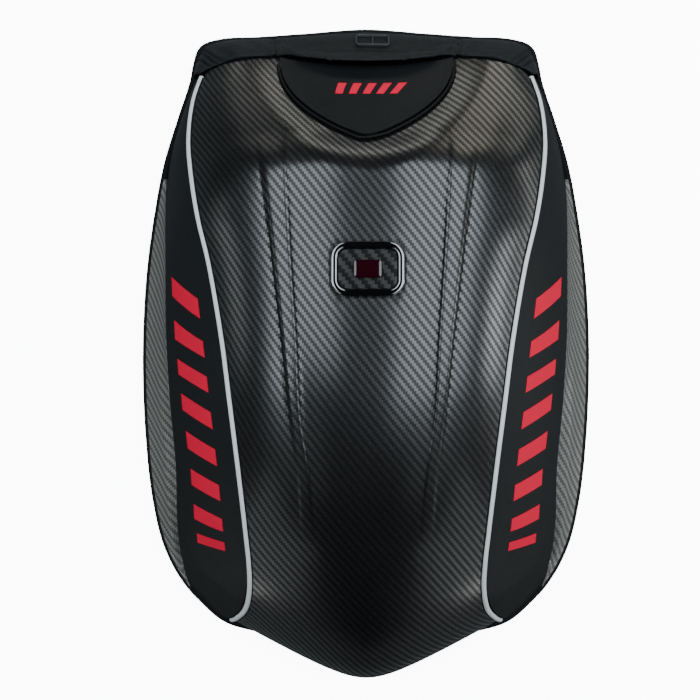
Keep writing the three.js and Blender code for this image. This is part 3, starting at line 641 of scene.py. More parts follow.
def handling_group():
    """Faint dust and rub marks: an uneven mask, 0 clean to 1 rubbed."""
    group, enter, leave = new_group("handling_marks", [("Amount", "NodeSocketFloat", 0.5)], ["Rubbed"])
    place = group.nodes.new("ShaderNodeTexCoord")
    broad = group.nodes.new("ShaderNodeTexNoise")
    broad.inputs["Scale"].default_value = 14
    broad.inputs["Detail"].default_value = 6
    group.links.new(place.outputs["Object"], broad.inputs["Vector"])
    ramp = group.nodes.new("ShaderNodeMapRange")
    ramp.inputs["From Min"].default_value = 0.42
    ramp.inputs["From Max"].default_value = 0.75
    group.links.new(broad.outputs["Fac"], ramp.inputs["Value"])
    rubbed = math_node(group, "MULTIPLY", ramp.outputs["Result"], enter.outputs["Amount"])
    group.links.new(rubbed, leave.inputs["Rubbed"])
    return group


TWILL = twill_group()
GRAIN = grain_group()
NYLON_WEAVE = nylon_group()
HANDLING = handling_group()


# Materials

def start_material(name):
    material = bpy.data.materials.new(name)
    material.use_nodes = True
    tree = material.node_tree
    return material, tree, tree.nodes["Principled BSDF"]


def place_group(tree, group, **values):
    node = tree.nodes.new("ShaderNodeGroup")
    node.node_tree = group
    for socket, value in values.items():
        node.inputs[socket.replace("_", " ")].default_value = value
    return node


def mix_colour(tree, mask, first, second):
    mix = tree.nodes.new("ShaderNodeMix")
    mix.data_type = "RGBA"
    for socket, value in ((mix.inputs["Factor"], mask), (mix.inputs[6], first), (mix.inputs[7], second)):
        if isinstance(value, bpy.types.NodeSocket):
            tree.links.new(value, socket)
        else:
            socket.default_value = (*value, 1.0)
    return mix.outputs[2]


def shaded(colour, share):
    return tuple(channel * share for channel in colour)


def dusted(tree, marks, colour, dust):
    """The colour under a faint film of dust, where the surface is marked."""
    return mix_colour(tree, math_node(tree, "MULTIPLY", marks.outputs["Rubbed"], DUST), colour, dust)


def roughen(tree, shader, marks, roughness, rougher):
    """Sets the shader's roughness, higher where the surface is marked."""
    rough = math_node(tree, "MULTIPLY_ADD", marks.outputs["Rubbed"], rougher, roughness)
    tree.links.new(rough, shader.inputs["Roughness"])


def add_bump(tree, shader, height, size):
    bump = tree.nodes.new("ShaderNodeBump")
    bump.inputs["Strength"].default_value = size["strength"]
    bump.inputs["Distance"].default_value = size["depth"]
    tree.links.new(height, bump.inputs["Height"])
    tree.links.new(bump.outputs["Normal"], shader.inputs["Normal"])


def twill_material(name, cell, warp, weft, rough_warp, rough_weft, coat):
    """Moulded twill: glossy warp threads over duller weft threads, with painted shade in the creases: darker
    and less glossy, dotted by the warp threads.
    """
    material, tree, shader = start_material(name)
    uv = tree.nodes.new("ShaderNodeUVMap")
    uv.uv_map = "weave"
    weave = place_group(tree, TWILL, Cell_Across=cell[0], Cell_Along=cell[1])
    tree.links.new(uv.outputs[0], weave.inputs["Place"])
    on_top = weave.outputs["Warp"]
    marks = place_group(tree, HANDLING, Amount=0.5)
    dusty = dusted(tree, marks, mix_colour(tree, on_top, weft, warp), DUST_WARM)
    # Painted shade: along the crease mask the colour goes to the dark weft colour, broken up by the warp
    # threads
    crease = tree.nodes.new("ShaderNodeAttribute")
    crease.attribute_name = "crease"
    dotted = math_node(tree, "MULTIPLY_ADD", on_top, -CREASE_SHADE_DOTS, 1.0)
    crease_shade = math_node(tree, "MULTIPLY", crease.outputs["Fac"], dotted)
    tree.links.new(mix_colour(tree, crease_shade, dusty, weft), shader.inputs["Base Color"])
    rough = math_node(tree, "MULTIPLY_ADD", on_top, rough_warp - rough_weft, rough_weft)
    roughen(tree, shader, marks, rough, RUB_ROUGHENS["twill"])
    shader.inputs["Specular IOR Level"].default_value = 0.06
    # Painted shade: the coat's gloss is taken away along the creases
    outside_crease_shade = math_node(tree, "MULTIPLY_ADD", crease_shade, -CREASE_SHADE_DULL, 1.0)
    gloss = math_node(tree, "MULTIPLY_ADD", on_top, coat * (1 - WEFT_GLOSS), coat * WEFT_GLOSS)
    tree.links.new(math_node(tree, "MULTIPLY", gloss, outside_crease_shade), shader.inputs["Coat Weight"])
    shader.inputs["Coat Roughness"].default_value = 0.25
    shader.inputs["Coat IOR"].default_value = 1.62
    add_bump(tree, shader, weave.outputs["Height"], TWILL_BUMP)
    return material


def leatherette_material(name, colour, roughness, grain_size, gloss=0.3):
    material, tree, shader = start_material(name)
    shader.inputs["Specular IOR Level"].default_value = gloss
    grain = place_group(tree, GRAIN, Grain_Size=grain_size)
    marks = place_group(tree, HANDLING, Amount=0.6)
    # Painted shade: the colour is darkened in the grain's pits, where the bump is lowest
    painted_pit_shade = mix_colour(tree, grain.outputs["Pits"], colour, shaded(colour, PIT_SHADE))
    tree.links.new(dusted(tree, marks, painted_pit_shade, DUST_GREY), shader.inputs["Base Color"])
    roughen(tree, shader, marks, roughness, RUB_ROUGHENS["grain"])
    add_bump(tree, shader, grain.outputs["Height"], GRAIN_BUMP)
    return material


def nylon_material(name, colour, threads, roughness, gloss=0.045):
    material, tree, shader = start_material(name)
    weave = place_group(tree, NYLON_WEAVE, Threads_per_Metre=threads)
    marks = place_group(tree, HANDLING, Amount=0.7)
    threaded = mix_colour(tree, weave.outputs["Thread"], shaded(colour, THREAD_SHADE), colour)
    tree.links.new(dusted(tree, marks, threaded, DUST_COOL), shader.inputs["Base Color"])
    roughen(tree, shader, marks, roughness, RUB_ROUGHENS["nylon"])
    shader.inputs["Specular IOR Level"].default_value = gloss
    add_bump(tree, shader, weave.outputs["Height"], NYLON_BUMP)
    return material


def gloss_material(name, colour, roughness, rougher=0.05, gloss=0.5, ior=1.5):
    material, tree, shader = start_material(name)
    shader.inputs["Specular IOR Level"].default_value = gloss
    shader.inputs["IOR"].default_value = ior
    marks = place_group(tree, HANDLING, Amount=0.8)
    tree.links.new(dusted(tree, marks, colour, DUST_GREY), shader.inputs["Base Color"])
    roughen(tree, shader, marks, roughness, rougher)
    return material


SHELL_TWILL = twill_material(
    "shell_twill", cell=(1.5, 1.9), warp=(0.0022, 0.0024, 0.0026), weft=(0.0006, 0.0007, 0.0008),
    rough_warp=0.34, rough_weft=0.5, coat=0.8)
GUSSET_TWILL = twill_material(
    "gusset_twill", cell=(1.5, 1.9), warp=(0.094, 0.092, 0.085), weft=(0.042, 0.041, 0.038),
    rough_warp=0.4, rough_weft=0.52, coat=0.3)
BADGE_TWILL = twill_material(
    "badge_twill", cell=(2.2, 2.6), warp=(0.014, 0.014, 0.014), weft=(0.001, 0.001, 0.0011),
    rough_warp=0.25, rough_weft=0.4, coat=0.12)
SIDE_SKIN = leatherette_material("side_skin", (0.0052, 0.0057, 0.0062), 0.5, grain_size=1300, gloss=0.09)
FLAP_SKIN = leatherette_material("flap_skin", (0.0034, 0.0039, 0.0043), 0.5, grain_size=1300, gloss=0.1)
PIPING_SILVER = leatherette_material("piping_silver", (0.42, 0.424, 0.43), 0.42, grain_size=2200, gloss=0.5)
CORD_BLACK = leatherette_material("cord_black", (0.003, 0.003, 0.0033), 0.6, grain_size=2000, gloss=0.08)
TRIM_PLASTIC = leatherette_material("trim_plastic", (0.012, 0.0125, 0.0135), 0.42, grain_size=1600)
COLLAR_NYLON = nylon_material("collar_nylon", (0.006, 0.0067, 0.0072), 1700, roughness=0.42, gloss=0.085)
BINDING_NYLON = nylon_material("binding_nylon", (0.005, 0.0053, 0.006), 1300, roughness=0.7)
PAD_NYLON = nylon_material("pad_nylon", (0.013, 0.0135, 0.015), 1000, roughness=0.8)
THREAD = nylon_material("thread", (0.014, 0.0145, 0.016), 4000, roughness=0.6)
BADGE_GLOSS = gloss_material("badge_gloss", (0.001, 0.001, 0.0011), 0.04, gloss=1.0, ior=1.75)
LENS_RED = gloss_material("lens_red", (0.009, 0.0003, 0.0018), 0.06)
PRINT_RED = gloss_material("print_red", (0.38, 0.003, 0.022), 0.55, rougher=0.1, gloss=0.06)


# Badge

def badge_place():
    """Matrix from the badge's own flat frame to its seat on the shell."""
    reach = BADGE["height"] / 2
    middle, upper, lower = (shell_at(0, BADGE["y"] + d).reshape(3) for d in (0, reach, -reach))
    slope = math.atan2(upper[2] - lower[2], upper[1] - lower[1])
    sunk = Matrix.Translation((0, 0, -BADGE_SEAT["depth"]))
    return Matrix.Translation(Vector(middle)) @ Matrix.Rotation(slope, 4, "X") @ sunk


BADGE_PLACE = badge_place()


def make_badge():
    def lifted(z):
        return BADGE_PLACE @ Matrix.Translation((0, 0, z))

    frame_piece("badge_frame_gloss", BADGE, lifted(GAP), BADGE_GLOSS, "badge_frame")
    inset = BADGE["border"] + GAP
    plate = {"width": BADGE["width"] - 2 * inset, "height": BADGE["height"] - 2 * inset,
             "radius": BADGE["radius"] - inset, "thick": BADGE["thick"] / 2, "bevel": BADGE_PLATE_BEVEL}
    plate_piece("badge_plate_twill", plate, lifted(GAP), BADGE_TWILL, "badge_plate")
    plate_piece("badge_lens_red", LENS, lifted(plate["thick"] + 2 * GAP), LENS_RED, "badge_lens")


# Shell

def with_badge_seat(grid):
    """The shell's grid with a flat seat pressed into it for the badge."""
    local = placed(grid.reshape(-1, 3), BADGE_PLACE.inverted()).reshape(grid.shape)
    straight = [BADGE[key] / 2 - BADGE["radius"] for key in ("width", "height")]
    corner = np.abs(local[..., :2]) - straight
    outside = np.linalg.norm(np.maximum(corner, 0), axis=-1) + np.minimum(corner.max(-1), 0) - BADGE["radius"]
    sunk = smoothstep(-outside, 0.0, BADGE_SEAT["edge"]) * (np.abs(local[..., 2]) < BADGE_SEAT["reach"])
    seated = local.copy()
    seated[..., 2] = np.minimum(local[..., 2], 0) * sunk + local[..., 2] * (1 - sunk)
    return placed(seated.reshape(-1, 3), BADGE_PLACE).reshape(grid.shape)


def make_shell():
    upper = np.linspace(0, SHELL_ROWS["brow"], SHELL_ROWS["above"])
    lower = np.linspace(SHELL_ROWS["brow"], 1, SHELL_ROWS["below"])
    along = np.concatenate([upper, lower[1:]])
    rib = RIB_LINE.at(along)
    edge = PIPE_LINE.at(along)[:, :1] - PIPING["seat"]
    stops = (0 * edge, rib[:, :1], rib[:, 1:2], edge)
    half = np.hstack([a + (b - a) * np.linspace(0, 1, count + 1)[None, 1:]
                      for a, b, count in zip(stops, stops[1:], SHELL_COLUMNS)])
    x = np.hstack([-half[:, ::-1], 0 * edge, half])
    grid = shell(along[:, None], x)
    # The crease mask dents the skin, and also tells the twill material where to paint shade
    crease = sum(bell(np.abs(x), rib[:, k:k + 1], RIB_CREASE["width"]) for k in (0, 1))
    crease = crease * np.clip((rib[:, 2:3] - RIB_CREASE["from"]) / RIB_CREASE["from"], 0, 1)
    grid = grid - grid_normals(grid) * (RIB_CREASE["depth"] * crease)[..., None]
    wall_piece("shell_skin", with_badge_seat(grid), SHELL_WALL, SHELL_TWILL, ["centre_shell"],
               weave_row=int(np.searchsorted(along, WEAVE_FROM)), crease=np.tile(crease.ravel(), 2))


# Side panels, piping, gussets

def between(start, end, share, bulge):
    """Points between two seams, on a surface that bulges outwards by so much at its middle."""
    rise, run = start[..., 2] - end[..., 2], end[..., 0] - start[..., 0]
    outward = unit(np.stack([rise, 0 * rise, run], -1))
    return start + (end - start) * share[..., None] + outward * (bulge * 4 * share * (1 - share))[..., None]


def side_panel(along, share):
    """Point of the right side panel, share 0 at the piping to 1 at the outer seam."""
    pipe, seam = PIPE_LINE.at(along), SEAM_LINE.at(along)
    width = np.linalg.norm(seam - pipe, axis=-1)
    tangent = unit(PIPE_LINE.at(np.minimum(along + NEARBY, 1)) - PIPE_LINE.at(np.maximum(along - NEARBY, 0)))
    square = np.linalg.norm(np.cross(unit(seam - pipe), tangent), axis=-1)
    low, high = PIPING["seat"] / square / width, 1 - SEAM_HALF_GAP / width
    fold = TAIL_FOLD["at_piping"] + (TAIL_FOLD["at_seam"] - TAIL_FOLD["at_piping"]) * share
    ridge = np.maximum(0, 1 - np.abs(along - fold) / TAIL_FOLD["reach"])
    bulge = SIDE_PANEL["bulge"] * np.minimum(1, width / SIDE_PANEL["full_width"]) + TAIL_FOLD["rise"] * ridge
    return between(pipe, seam, low + (high - low) * share, bulge)


def make_side_panels():
    rows, columns = SIDE_GRID
    down = np.linspace(SIDE_PANEL["from"], SIDE_PANEL["to"], rows)
    along, share = np.meshgrid(down, np.linspace(0, 1, columns), indexing="ij")
    both_sides("side_panel_skin", side_panel(along, share), SIDE_PANEL["wall"], SIDE_SKIN,
               "side_panel")


def print_bars(name, grids):
    """A row of thin printed bars, each on its own patch of a panel."""
    points, faces, base = [], [], 0
    for grid in grids:
        rows, cols = grid.shape[:2]
        out = grid_normals(grid)
        faces.append(wall_faces(rows, cols, base))
        points += [(grid + out * PRINT[level]).reshape(-1, 3) for level in ("top", "base")]
        base += 2 * rows * cols
    make_piece(name, np.vstack(points), np.vstack(faces), PRINT_RED)


def make_side_bars():
    """Slanted bars along both side panels, narrower towards the tail."""
    full = SIDE_BARS["outer"] - SIDE_BARS["inner"]
    length = np.linspace(0, SIDE_BARS["length"], SIDE_BARS["rows"])[:, None]
    bars = []
    for k, start in enumerate(np.linspace(SIDE_BARS["first"], SIDE_BARS["last"], SIDE_BARS["count"])):
        outer = SIDE_BARS["outer"] - SIDE_BARS["narrows"] * k
        across = np.linspace(SIDE_BARS["inner"], outer, SIDE_BARS["columns"])
        down = start + length + SIDE_BARS["slant"] * (1 - (across - SIDE_BARS["inner"]) / full)[None]
        bars.append(side_panel(down, np.broadcast_to(across, down.shape)))
    print_bars("side_bars_right", bars)
    print_bars("side_bars_left", [mirrored(grid) for grid in bars])


def make_piping():
    path = PIPE_LINE.at(np.linspace(PIPING["from"], PIPING["to"], PIPING["points"]))
    up = unit(np.column_stack([path[:, 0] * PIPING["lean"], 0 * path[:, 0], np.ones(len(path))]))
    tape = path + unit(PIPING_TAPE["towards"] - path) * PIPING_TAPE["below"]
    for side, flip in SIDES:
        sign = np.array([flip, 1, 1])
        tube_piece(f"piping_cord_{side}", path * sign, PIPING["radius"], up * sign, PIPING_SILVER,
                   PIPING["sides"], PIPING["groove"], [f"piping_{side}"])
        tube_piece(f"piping_tape_{side}", tape * sign, PIPING_TAPE["radius"], up * sign, BINDING_NYLON)


def rim_at(y):
    x = np.interp(-y, -RIM_HALF[:, 1], RIM_HALF[:, 0])
    return np.stack([x, y, np.full_like(y, EDGE_Z + GUSSET["over_edge"] * GUSSET["wall"])], -1)


def make_gussets():
    rows, columns = GUSSET_GRID
    along = np.linspace(GUSSET["from"], GUSSET["to"], rows)
    seam = SEAM_LINE.at(along)
    rim = rim_at(seam[:, 1])
    height = np.linalg.norm(rim - seam, axis=1)
    start = (SEAM_HALF_GAP / height)[:, None]
    share = np.linspace(0, 1, columns)[None] * (1 - start) + start
    hollow = -GUSSET["hollow"] * np.minimum(1, height / GUSSET["full_height"])
    grid = between(seam[:, None], rim[:, None], share, hollow[:, None])
    recess = smoothstep(along, *GUSSET_RECESS["from"]) * (1 - smoothstep(along, *GUSSET_RECESS["to"]))
    across = smoothstep(share, *GUSSET_RECESS["at_seam"])
    across = across * (1 - smoothstep(share, *GUSSET_RECESS["below_seam"]))
    grid = grid - grid_normals(grid) * (GUSSET_RECESS["depth"] * recess[:, None] * across)[..., None]
    both_sides("gusset_skin", grid, GUSSET["wall"], GUSSET_TWILL, "gusset")


# Bound edge and back

def rim_loop(count, outwards):
    """The bound edge's line as evenly spaced points, moved outwards."""
    fine = RIM_LINE.at(np.linspace(0, 1, RIM_SAMPLES))
    distance = run_along(fine)
    at = np.linspace(0, distance[-1], count, endpoint=False)
    points = np.column_stack([np.interp(at, distance, fine[:, k]) for k in (0, 1)])
    tangent = tangents(points, closed=True)
    return points + np.column_stack([-tangent[:, 1], tangent[:, 0]]) * outwards


def make_binding():
    """A soft-cornered tape round the edge, waving a little along its top, and a row of stitches."""
    def squared(value):
        return np.sign(value) * np.abs(value) ** BINDING["roundness"]

    count, section = BINDING["around"], BINDING["section"]
    half, half_height = BINDING["width"] / 2, (BINDING["top"] - BINDING["base"]) / 2
    middle = (BINDING["base"] + BINDING["top"]) / 2
    waves, beats = (np.linspace(0, 2 * math.pi * BINDING_WAVE[key], count) for key in ("waves", "beats"))
    wave = BINDING_WAVE["height"] * np.sin(waves) * np.sin(beats)
    rings = []
    for angle in np.linspace(0, 2 * math.pi, section, endpoint=False):
        ring = rim_loop(count, squared(math.cos(angle)) * half)
        z = middle + squared(math.sin(angle)) * half_height
        rings.append(np.column_stack([ring, z + wave * (math.sin(angle) > BINDING_WAVE["above"])]))
    faces = ring_faces(np.arange(section * count).reshape(section, count), loop=True)
    make_piece("binding_tape", np.vstack(rings), faces, BINDING_NYLON, ["rim_binding"],
               sharp_degrees=70)
    inset, around = BINDING_STITCHES["inset"], BINDING_STITCHES["around"]
    path = np.column_stack([rim_loop(around, half - inset), np.full(around, BINDING["top"] - inset)])
    stitches_piece("binding_stitches", path, np.tile([0.0, 0.0, 1.0], (around, 1)))


def puffed(piece, cap, z_low, z_high):
    """Fills a pad with air by cloth simulation, moving no point by more than cap."""
    bpy.context.view_layer.objects.active = piece
    remesh = piece.modifiers.new("remesh", "REMESH")
    remesh.mode = "VOXEL"
    remesh.voxel_size = PUFF["voxel"] * MM
    remesh.use_smooth_shade = True
    bpy.ops.object.modifier_apply(modifier=remesh.name)
    rest = np.array([v.co for v in piece.data.vertices])
    moved = rest
    cloth = piece.modifiers.new("cloth", "CLOTH")
    cloth.settings.use_pressure = True
    cloth.settings.uniform_pressure_force = PUFF["pressure"]
    cloth.settings.effector_weights.gravity = 0
    scene = bpy.context.scene
    for number in range(1, PUFF["frames"] + 1):
        scene.frame_set(number)
    shown = piece.evaluated_get(bpy.context.evaluated_depsgraph_get())
    moved = np.array([v.co for v in shown.data.vertices])
    piece.modifiers.remove(cloth)
    scene.frame_set(1)
    step = moved - rest
    far = np.linalg.norm(step, axis=1, keepdims=True)
    moved = rest + step * np.minimum(1, cap * MM / np.maximum(far, 1e-9))
    moved[:, 2] = np.clip(moved[:, 2], z_low * MM, z_high * MM)
    piece.data.vertices.foreach_set("co", moved.astype(np.float32).ravel())
    piece.data.shade_smooth()
    soft = piece.modifiers.new("soften", "SUBSURF")
    soft.levels = soft.render_levels = 1


def padded_slab(name, outline, low, high, shape, node):
    """A pad between two heights, cut with room to fill and then filled."""
    count = len(outline)
    levels = (low + shape["room"], high - shape["room"])
    points = np.vstack([np.column_stack([outline, np.full(count, z)]) for z in levels])
    number = np.arange(2 * count).reshape(2, count)
    faces = ring_faces(number, flip=True) + [list(number[0][::-1]), list(number[1])]
    pad = make_piece(name, points, faces, PAD_NYLON, [node])
    puffed(pad, shape["cap"], low, high)


def make_back():
    outline = rim_loop(BACK["around"], BACK["tuck"] - BINDING["width"] / 2)[::-1]
    padded_slab("back_pad", outline, BACK["base"], BACK["top"], BACK, "back_panel")


# Collar

def collar(side, down):
    """Right half: side 0 at the middle to 1 at the corner, down 0 at the shell to 1 at the bound edge."""
    drape, rim = COLLAR_DRAPE.at(side), COLLAR_RIM.at(side)
    rise = rim[..., 2]
    rim = np.concatenate([rim[..., :2], np.full(rise.shape + (1,), EDGE_Z)], -1)
    sewn = shell(0 * side, drape[..., 0])
    outward = rim - sewn
    outward[..., 2] = 0
    outward = unit(outward)
    sewn = sewn + outward * COLLAR_GAPS * GAP
    lean = COLLAR_LEAN["by"] * np.maximum(0, rise - COLLAR_LEAN["above"])
    roll = sewn + outward * (rise / 2 - lean)[..., None]
    roll[..., 2] = sewn[..., 2] + rise
    fall = rim + outward
    fall[..., 2] = rim[..., 2] + (sewn[..., 2] - rim[..., 2]) / 2
    t = down[..., None]
    point = (1 - t) ** 3 * sewn + 3 * (1 - t) ** 2 * t * roll + 3 * (1 - t) * t**2 * fall + t**3 * rim
    fold = bell(down, COLLAR_FOLD["at"], COLLAR_FOLD["width"])
    pull = drape[..., 1] * fold + drape[..., 2] * np.sin(math.pi * down)
    inward = outward * -COLLAR_PULL["inwards"]
    inward[..., 2] = -COLLAR_PULL["down"]
    return point + inward * pull[..., None]


def collar_fan(side, down):
    """Folds that run out from the sewn end of the seam."""
    away = (side - COLLAR_SEAM["at"]) / COLLAR_FAN_SHAPE["half"]
    reach = np.hypot(away, down)
    turn = np.arctan2(away, down)
    folds = sum(height * bell(turn, at, COLLAR_FAN_SHAPE["fold"]) for at, height in COLLAR_FAN)
    fading = bell(reach, 0, COLLAR_FAN_SHAPE["fades"])
    return folds * fading * smoothstep(reach, 0, COLLAR_FAN_SHAPE["starts"])


def collar_drape_marks(side, down):
    """How far the collar's fabric stands out of, or dips into, its plain form."""
    rng = np.random.default_rng(COLLAR_RIDGES["seed"])
    below_middle = down - 0.5
    seam = -COLLAR_SEAM["dip"] * bell(side, COLLAR_SEAM["at"], COLLAR_SEAM["width"])
    bowed = down + COLLAR_CREASE["rises"] * side**2
    crease = -COLLAR_CREASE["depth"] * bell(bowed, COLLAR_CREASE["at"], COLLAR_CREASE["width"])
    crease = crease * (1 - smoothstep(side, *COLLAR_CREASE["fades"]))
    leaning = side - COLLAR_PLEATS["lean"] * below_middle
    pleats = sum(bell(leaning, at, COLLAR_PLEATS["width"]) for at in COLLAR_PLEATS["at"])
    ridges = 0
    for _ in range(COLLAR_RIDGES["count"]):
        at = rng.uniform(*COLLAR_RIDGES["at"])
        lean = rng.uniform(*COLLAR_RIDGES["lean"])
        width = rng.uniform(*COLLAR_RIDGES["width"])
        height = rng.uniform(*COLLAR_RIDGES["height"])
        ridges = ridges + height * bell(side - lean * below_middle, at, width)
    ridges = ridges * smoothstep(side, *COLLAR_RIDGES["start"])
    held = np.sin(math.pi * np.clip(down, 0, 1)) ** COLLAR_HELD_POWER
    return seam + crease + (collar_fan(side, down) - COLLAR_PLEATS["depth"] * pleats + ridges) * held


def collar_skin(sides, draped):
    """Grid of the right half's fabric, from the bound edge to a seam allowance tucked under the shell."""
    side, down = np.meshgrid(sides, np.linspace(1, 0, COLLAR_ROWS))
    grid = collar(side, down)
    if draped:
        grid = grid + grid_normals(grid) * collar_drape_marks(side, down)[..., None]
    sewn = grid[-1]
    under = shell(0 * sides, np.minimum(COLLAR_DRAPE.at(sides)[:, 0], COLLAR_ALLOWANCE_X))
    inward = unit((under - sewn) * [1, 1, 0])
    allowance = [sewn + inward * inwards - [0, 0, lower] for inwards, lower in COLLAR_ALLOWANCE]
    return np.concatenate([grid, np.array(allowance)])


def collar_panels(draped):
    """Grids of the right, left and middle panels; the side panels go under the middle one."""
    seam, gap = COLLAR_SEAM["at"], COLLAR_SEAM["gap"]
    outer = np.linspace(seam + gap, 1, COLLAR_COLUMNS["side"])
    right = collar_skin(np.concatenate([seam - np.array(COLLAR_SEAM["under"]), outer]), draped)
    right[:, :2] -= grid_normals(right)[:, :2] * COLLAR_SEAM["tuck"]
    half = collar_skin(np.linspace(0, seam - gap, COLLAR_COLUMNS["middle"]), draped)
    return right, mirrored(right), np.hstack([mirrored(half)[:, :-1], half])


def make_collar():
    panels, cuts = collar_panels(True), collar_panels(False)
    names = ("collar_side_right", "collar_side_left", "collar_middle")
    nodes = ("collar_right", "collar_left", "collar_centre")
    for name, node, grid, cut in zip(names, nodes, panels, cuts):
        piece = wall_piece(name, grid, COLLAR_CLOTH, COLLAR_NYLON, [node])
    row = COLLAR_STITCHES["rows"], COLLAR_STITCHES["column"]
    path, out = panels[0][row], grid_normals(panels[0])[row]
    for side, sign in SIDES:
        flip = [sign, 1, 1]
        stitches_piece(f"collar_stitches_{side}", path * flip, out * flip, COLLAR_STITCHES["radius"])


def on_collar(points):
    """Bends flat points to the middle of the collar: x across, y down it, z out of it."""
    downs = np.linspace(*SLIDER_REACH)
    run = run_along(collar(0 * downs, downs))
    down = np.interp(points[:, 1] + np.interp(SLIDER_PLACE["down"], downs, run), run, downs)
    x = points[:, 0] + SLIDER_PLACE["x"]
    side = np.abs(x) / (COLLAR[1, 0] * (len(COLLAR) - 1))
    slope = collar(side, down + COLLAR_NEARBY) - collar(side, down - COLLAR_NEARBY)
    out = unit(np.column_stack([0 * x, -slope[:, 2], slope[:, 1]]))
    bent = collar(side, down) + out * (points[:, 2] + SLIDER_PLACE["lift"])[:, None]
    bent[:, 0] = x
    return bent


def make_slider():
    frame_piece("slider_frame", SLIDER, on_collar, TRIM_PLASTIC, "collar_slider")


# Flap

def flap_half_width(share):
    return FLAP["half_width"] * (1 - share**FLAP["inner"]) ** FLAP["outer"]


def flap(share, side, lift):
    """Point of the flap's outside, share 0 at its top to 1 at its tip, side -1 to 1 across, lift extra."""
    y = FLAP["top"] + (FLAP["tip"] - FLAP["top"]) * share - FLAP["dip"] * (1 - side**2) * (1 - share)
    pillow = FLAP["pillow"] * (1 - side**2) * 4 * share * (1 - share)
    return above_shell(side * flap_half_width(share), y, FLAP["lift"] + FLAP["wall"] + lift + pillow)


def make_flap_bars():
    """Slanted bars in a row across the flap."""
    upper, lower = FLAP_BARS["upper"], FLAP_BARS["lower"]
    share = np.linspace(upper, lower, FLAP_BARS["rows"])[:, None]
    width = np.linspace(0, FLAP_BARS["width"], FLAP_BARS["columns"])[None]
    across = width + FLAP_BARS["slant"] * (lower - share)
    share = np.broadcast_to(share, across.shape)
    starts = np.linspace(FLAP_BARS["first"], FLAP_BARS["last"], FLAP_BARS["count"])
    print_bars("flap_bars", [flap(share, start + across, 0) for start in starts])


def make_flap():
    rows, columns = FLAP_GRID
    downs = np.linspace(0, FLAP["end"], rows)
    share, side = np.meshgrid(downs, np.linspace(-1, 1, columns), indexing="ij")
    hem = bell(np.abs(side), FLAP_HEM["at"], FLAP_HEM["width"]) * (share < FLAP_HEM["to"])
    grid = flap(share, side, -FLAP_HEM["depth"] * hem)
    thick = FLAP["wall"] - FLAP["thinner"]
    piece = wall_piece("flap_skin", grid, thick, FLAP_SKIN, ["top_flap"])


def make_flap_cord():
    """A cord down one side of the flap, round its tip and up the other."""
    clear = FLAP_CORD["radius"] + FLAP_CORD["gap"]
    down = np.linspace(FLAP_CORD["from"], 1, FLAP_CORD["rows"])
    wide = flap_half_width(np.minimum(down, FLAP_CORD["short_of_tip"])) + clear
    half = np.where(down < 1, wide, 0)
    y = FLAP["top"] + (FLAP["tip"] - FLAP["top"]) * down - clear * down
    lift = np.full(len(down), FLAP_CORD["radius"] + FLAP["lift"])
    right, left = above_shell(half, y, lift), above_shell(-half, y, lift)[-2::-1]
    corners = np.vstack([right, left])[::FLAP_CORD["every"]]
    path = Line(corners).at(np.linspace(0, 1, FLAP_CORD["points"]))
    up = np.tile(FLAP_CORD["up"], (len(path), 1))
    tube_piece("flap_edge_cord", path, FLAP_CORD["radius"], up, CORD_BLACK,
               stands_for=["flap_piping"])


# Straps

def strap_outline(sign):
    """Outline of a shoulder pad, counter-clockwise; sign 1 for the right one and -1 for the left."""
    middle = STRAP_LINE.at(np.linspace(0, 1, STRAP_PAD["rows"]))
    tangent = unit(np.gradient(middle[:, :2], axis=0))
    across = np.column_stack([-tangent[:, 1], tangent[:, 0]]) * (middle[:, 2:] / 2 - STRAP_PAD["inset"])
    outline = np.vstack([middle[:, :2] + across, (middle[:, :2] - across)[::-1]]) * [sign, 1]
    following = np.roll(outline, -1, axis=0)
    area = (outline[:, 0] * following[:, 1] - following[:, 0] * outline[:, 1]).sum()
    return outline if area > 0 else outline[::-1]


def make_webbing(side, sign):
    """A short length of ribbed tape that lies against the back panel."""
    start, end = np.array(WEBBING["from"]), np.array(WEBBING["to"])
    length = float(np.linalg.norm(end - start))
    lean = math.atan2(end[0] - start[0], start[1] - end[1])
    rows, columns = WEBBING_GRID
    along, across = np.meshgrid(np.linspace(0, length, rows), np.linspace(-0.5, 0.5, columns), indexing="ij")
    ribs = WEBBING["rib"] * np.cos(across * WEBBING["ribs"] * math.pi)
    tape = np.stack([across * WEBBING["width"], -along, STRAP_PAD["thick"] - WEBBING["sunk"] - ribs], -1)
    turn = np.array(Matrix.Rotation(sign * lean, 3, "Z"))
    grid = tape @ turn.T + [sign * start[0], start[1], 0]
    piece = wall_piece(f"webbing_{side}", grid, WEBBING["thick"], BINDING_NYLON,
                       [f"strap_webbing_{side}"])


def make_straps():
    x, y = ADJUSTER_PLACE
    for side, sign in SIDES:
        padded_slab(f"strap_pad_{side}", strap_outline(sign), 0.0, STRAP_PAD["thick"], STRAP_PAD,
                    f"shoulder_strap_{side}")
        place = Matrix.Translation((sign * x, y, STRAP_PAD["thick"] - ADJUSTER["thick"]))
        frame_piece(f"adjuster_{side}", ADJUSTER, place, TRIM_PLASTIC,
                    f"strap_adjuster_{side}")
        make_webbing(side, sign)


# Floor, light and camera

def camera_ray(tree):
    """1 where the camera looks straight at the surface, and 0 for light that bounces."""
    return tree.nodes.new("ShaderNodeLightPath").outputs["Is Camera Ray"]


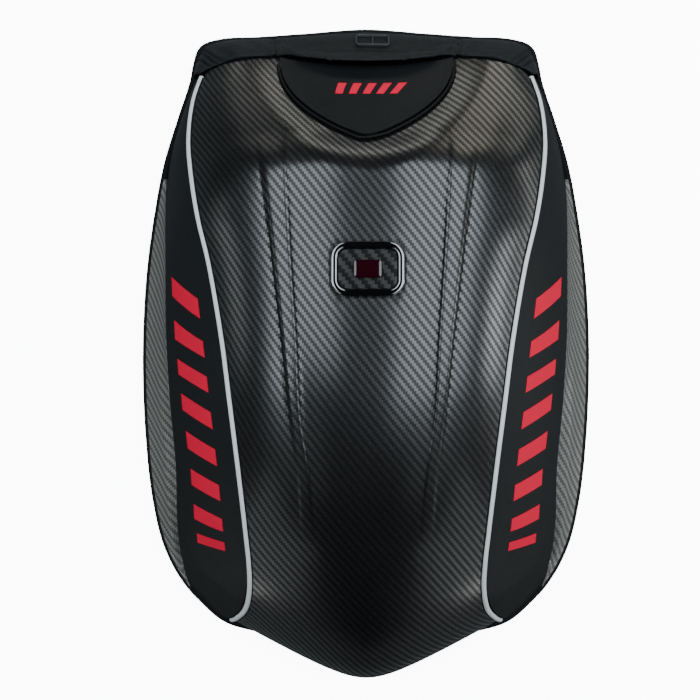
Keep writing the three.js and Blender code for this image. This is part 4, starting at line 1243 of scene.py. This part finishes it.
def make_floor():
    mesh = bpy.data.meshes.new("floor")
    corners = [(sx * FLOOR_REACH, sy * FLOOR_REACH, 0) for sx, sy in ((-1, -1), (1, -1), (1, 1), (-1, 1))]
    mesh.from_pydata(corners, [], [(0, 1, 2, 3)])
    material, tree, shader = start_material("floor_paint")
    shader.inputs["Roughness"].default_value = 0.9
    seen = camera_ray(tree)
    tree.links.new(mix_colour(tree, seen, FLOOR_BOUNCE, FLOOR_SEEN), shader.inputs["Base Color"])
    tree.links.new(seen, shader.inputs["Emission Color"])
    shader.inputs["Emission Strength"].default_value = BACKDROP
    mesh.materials.append(material)
    floor = bpy.data.objects.new("floor", mesh)
    bpy.context.scene.collection.objects.link(floor)


def add_light(name, place, target, size, power, colour):
    lamp = bpy.data.lights.new(name, "AREA")
    lamp.shape = "RECTANGLE"
    lamp.size, lamp.size_y = size
    lamp.energy = power
    lamp.color = colour
    light = bpy.data.objects.new(name, lamp)
    light.location = place
    light.rotation_euler = (Vector(target) - Vector(place)).to_track_quat("-Z", "Y").to_euler()
    light.visible_camera = False
    bpy.context.scene.collection.objects.link(light)


def make_studio():
    world = bpy.data.worlds.new("studio")
    bpy.context.scene.world = world
    world.use_nodes = True
    tree = world.node_tree
    sky = tree.nodes["Background"]
    sky.inputs["Color"].default_value = (1, 1, 1, 1)
    strength = math_node(tree, "MULTIPLY_ADD", camera_ray(tree), BACKDROP, SKY_GLOW)
    tree.links.new(strength, sky.inputs["Strength"])
    for light in LIGHTS:
        add_light(*light)


def make_camera():
    data = bpy.data.cameras.new("camera")
    data.sensor_width = CAMERA["sensor"]
    data.lens = CAMERA["lens"]
    camera = bpy.data.objects.new("camera", data)
    camera.location = (CAMERA["x"] * MM, (CAMERA["y"] + CENTRING) * MM, CAMERA["z"] * MM)
    bpy.context.scene.collection.objects.link(camera)
    bpy.context.scene.camera = camera


make_camera()
make_shell()
make_badge()
make_side_panels()
make_side_bars()
make_piping()
make_gussets()
make_binding()
make_back()
make_collar()
make_slider()
make_flap_bars()
make_flap()
make_flap_cord()
make_straps()
make_floor()
make_studio()
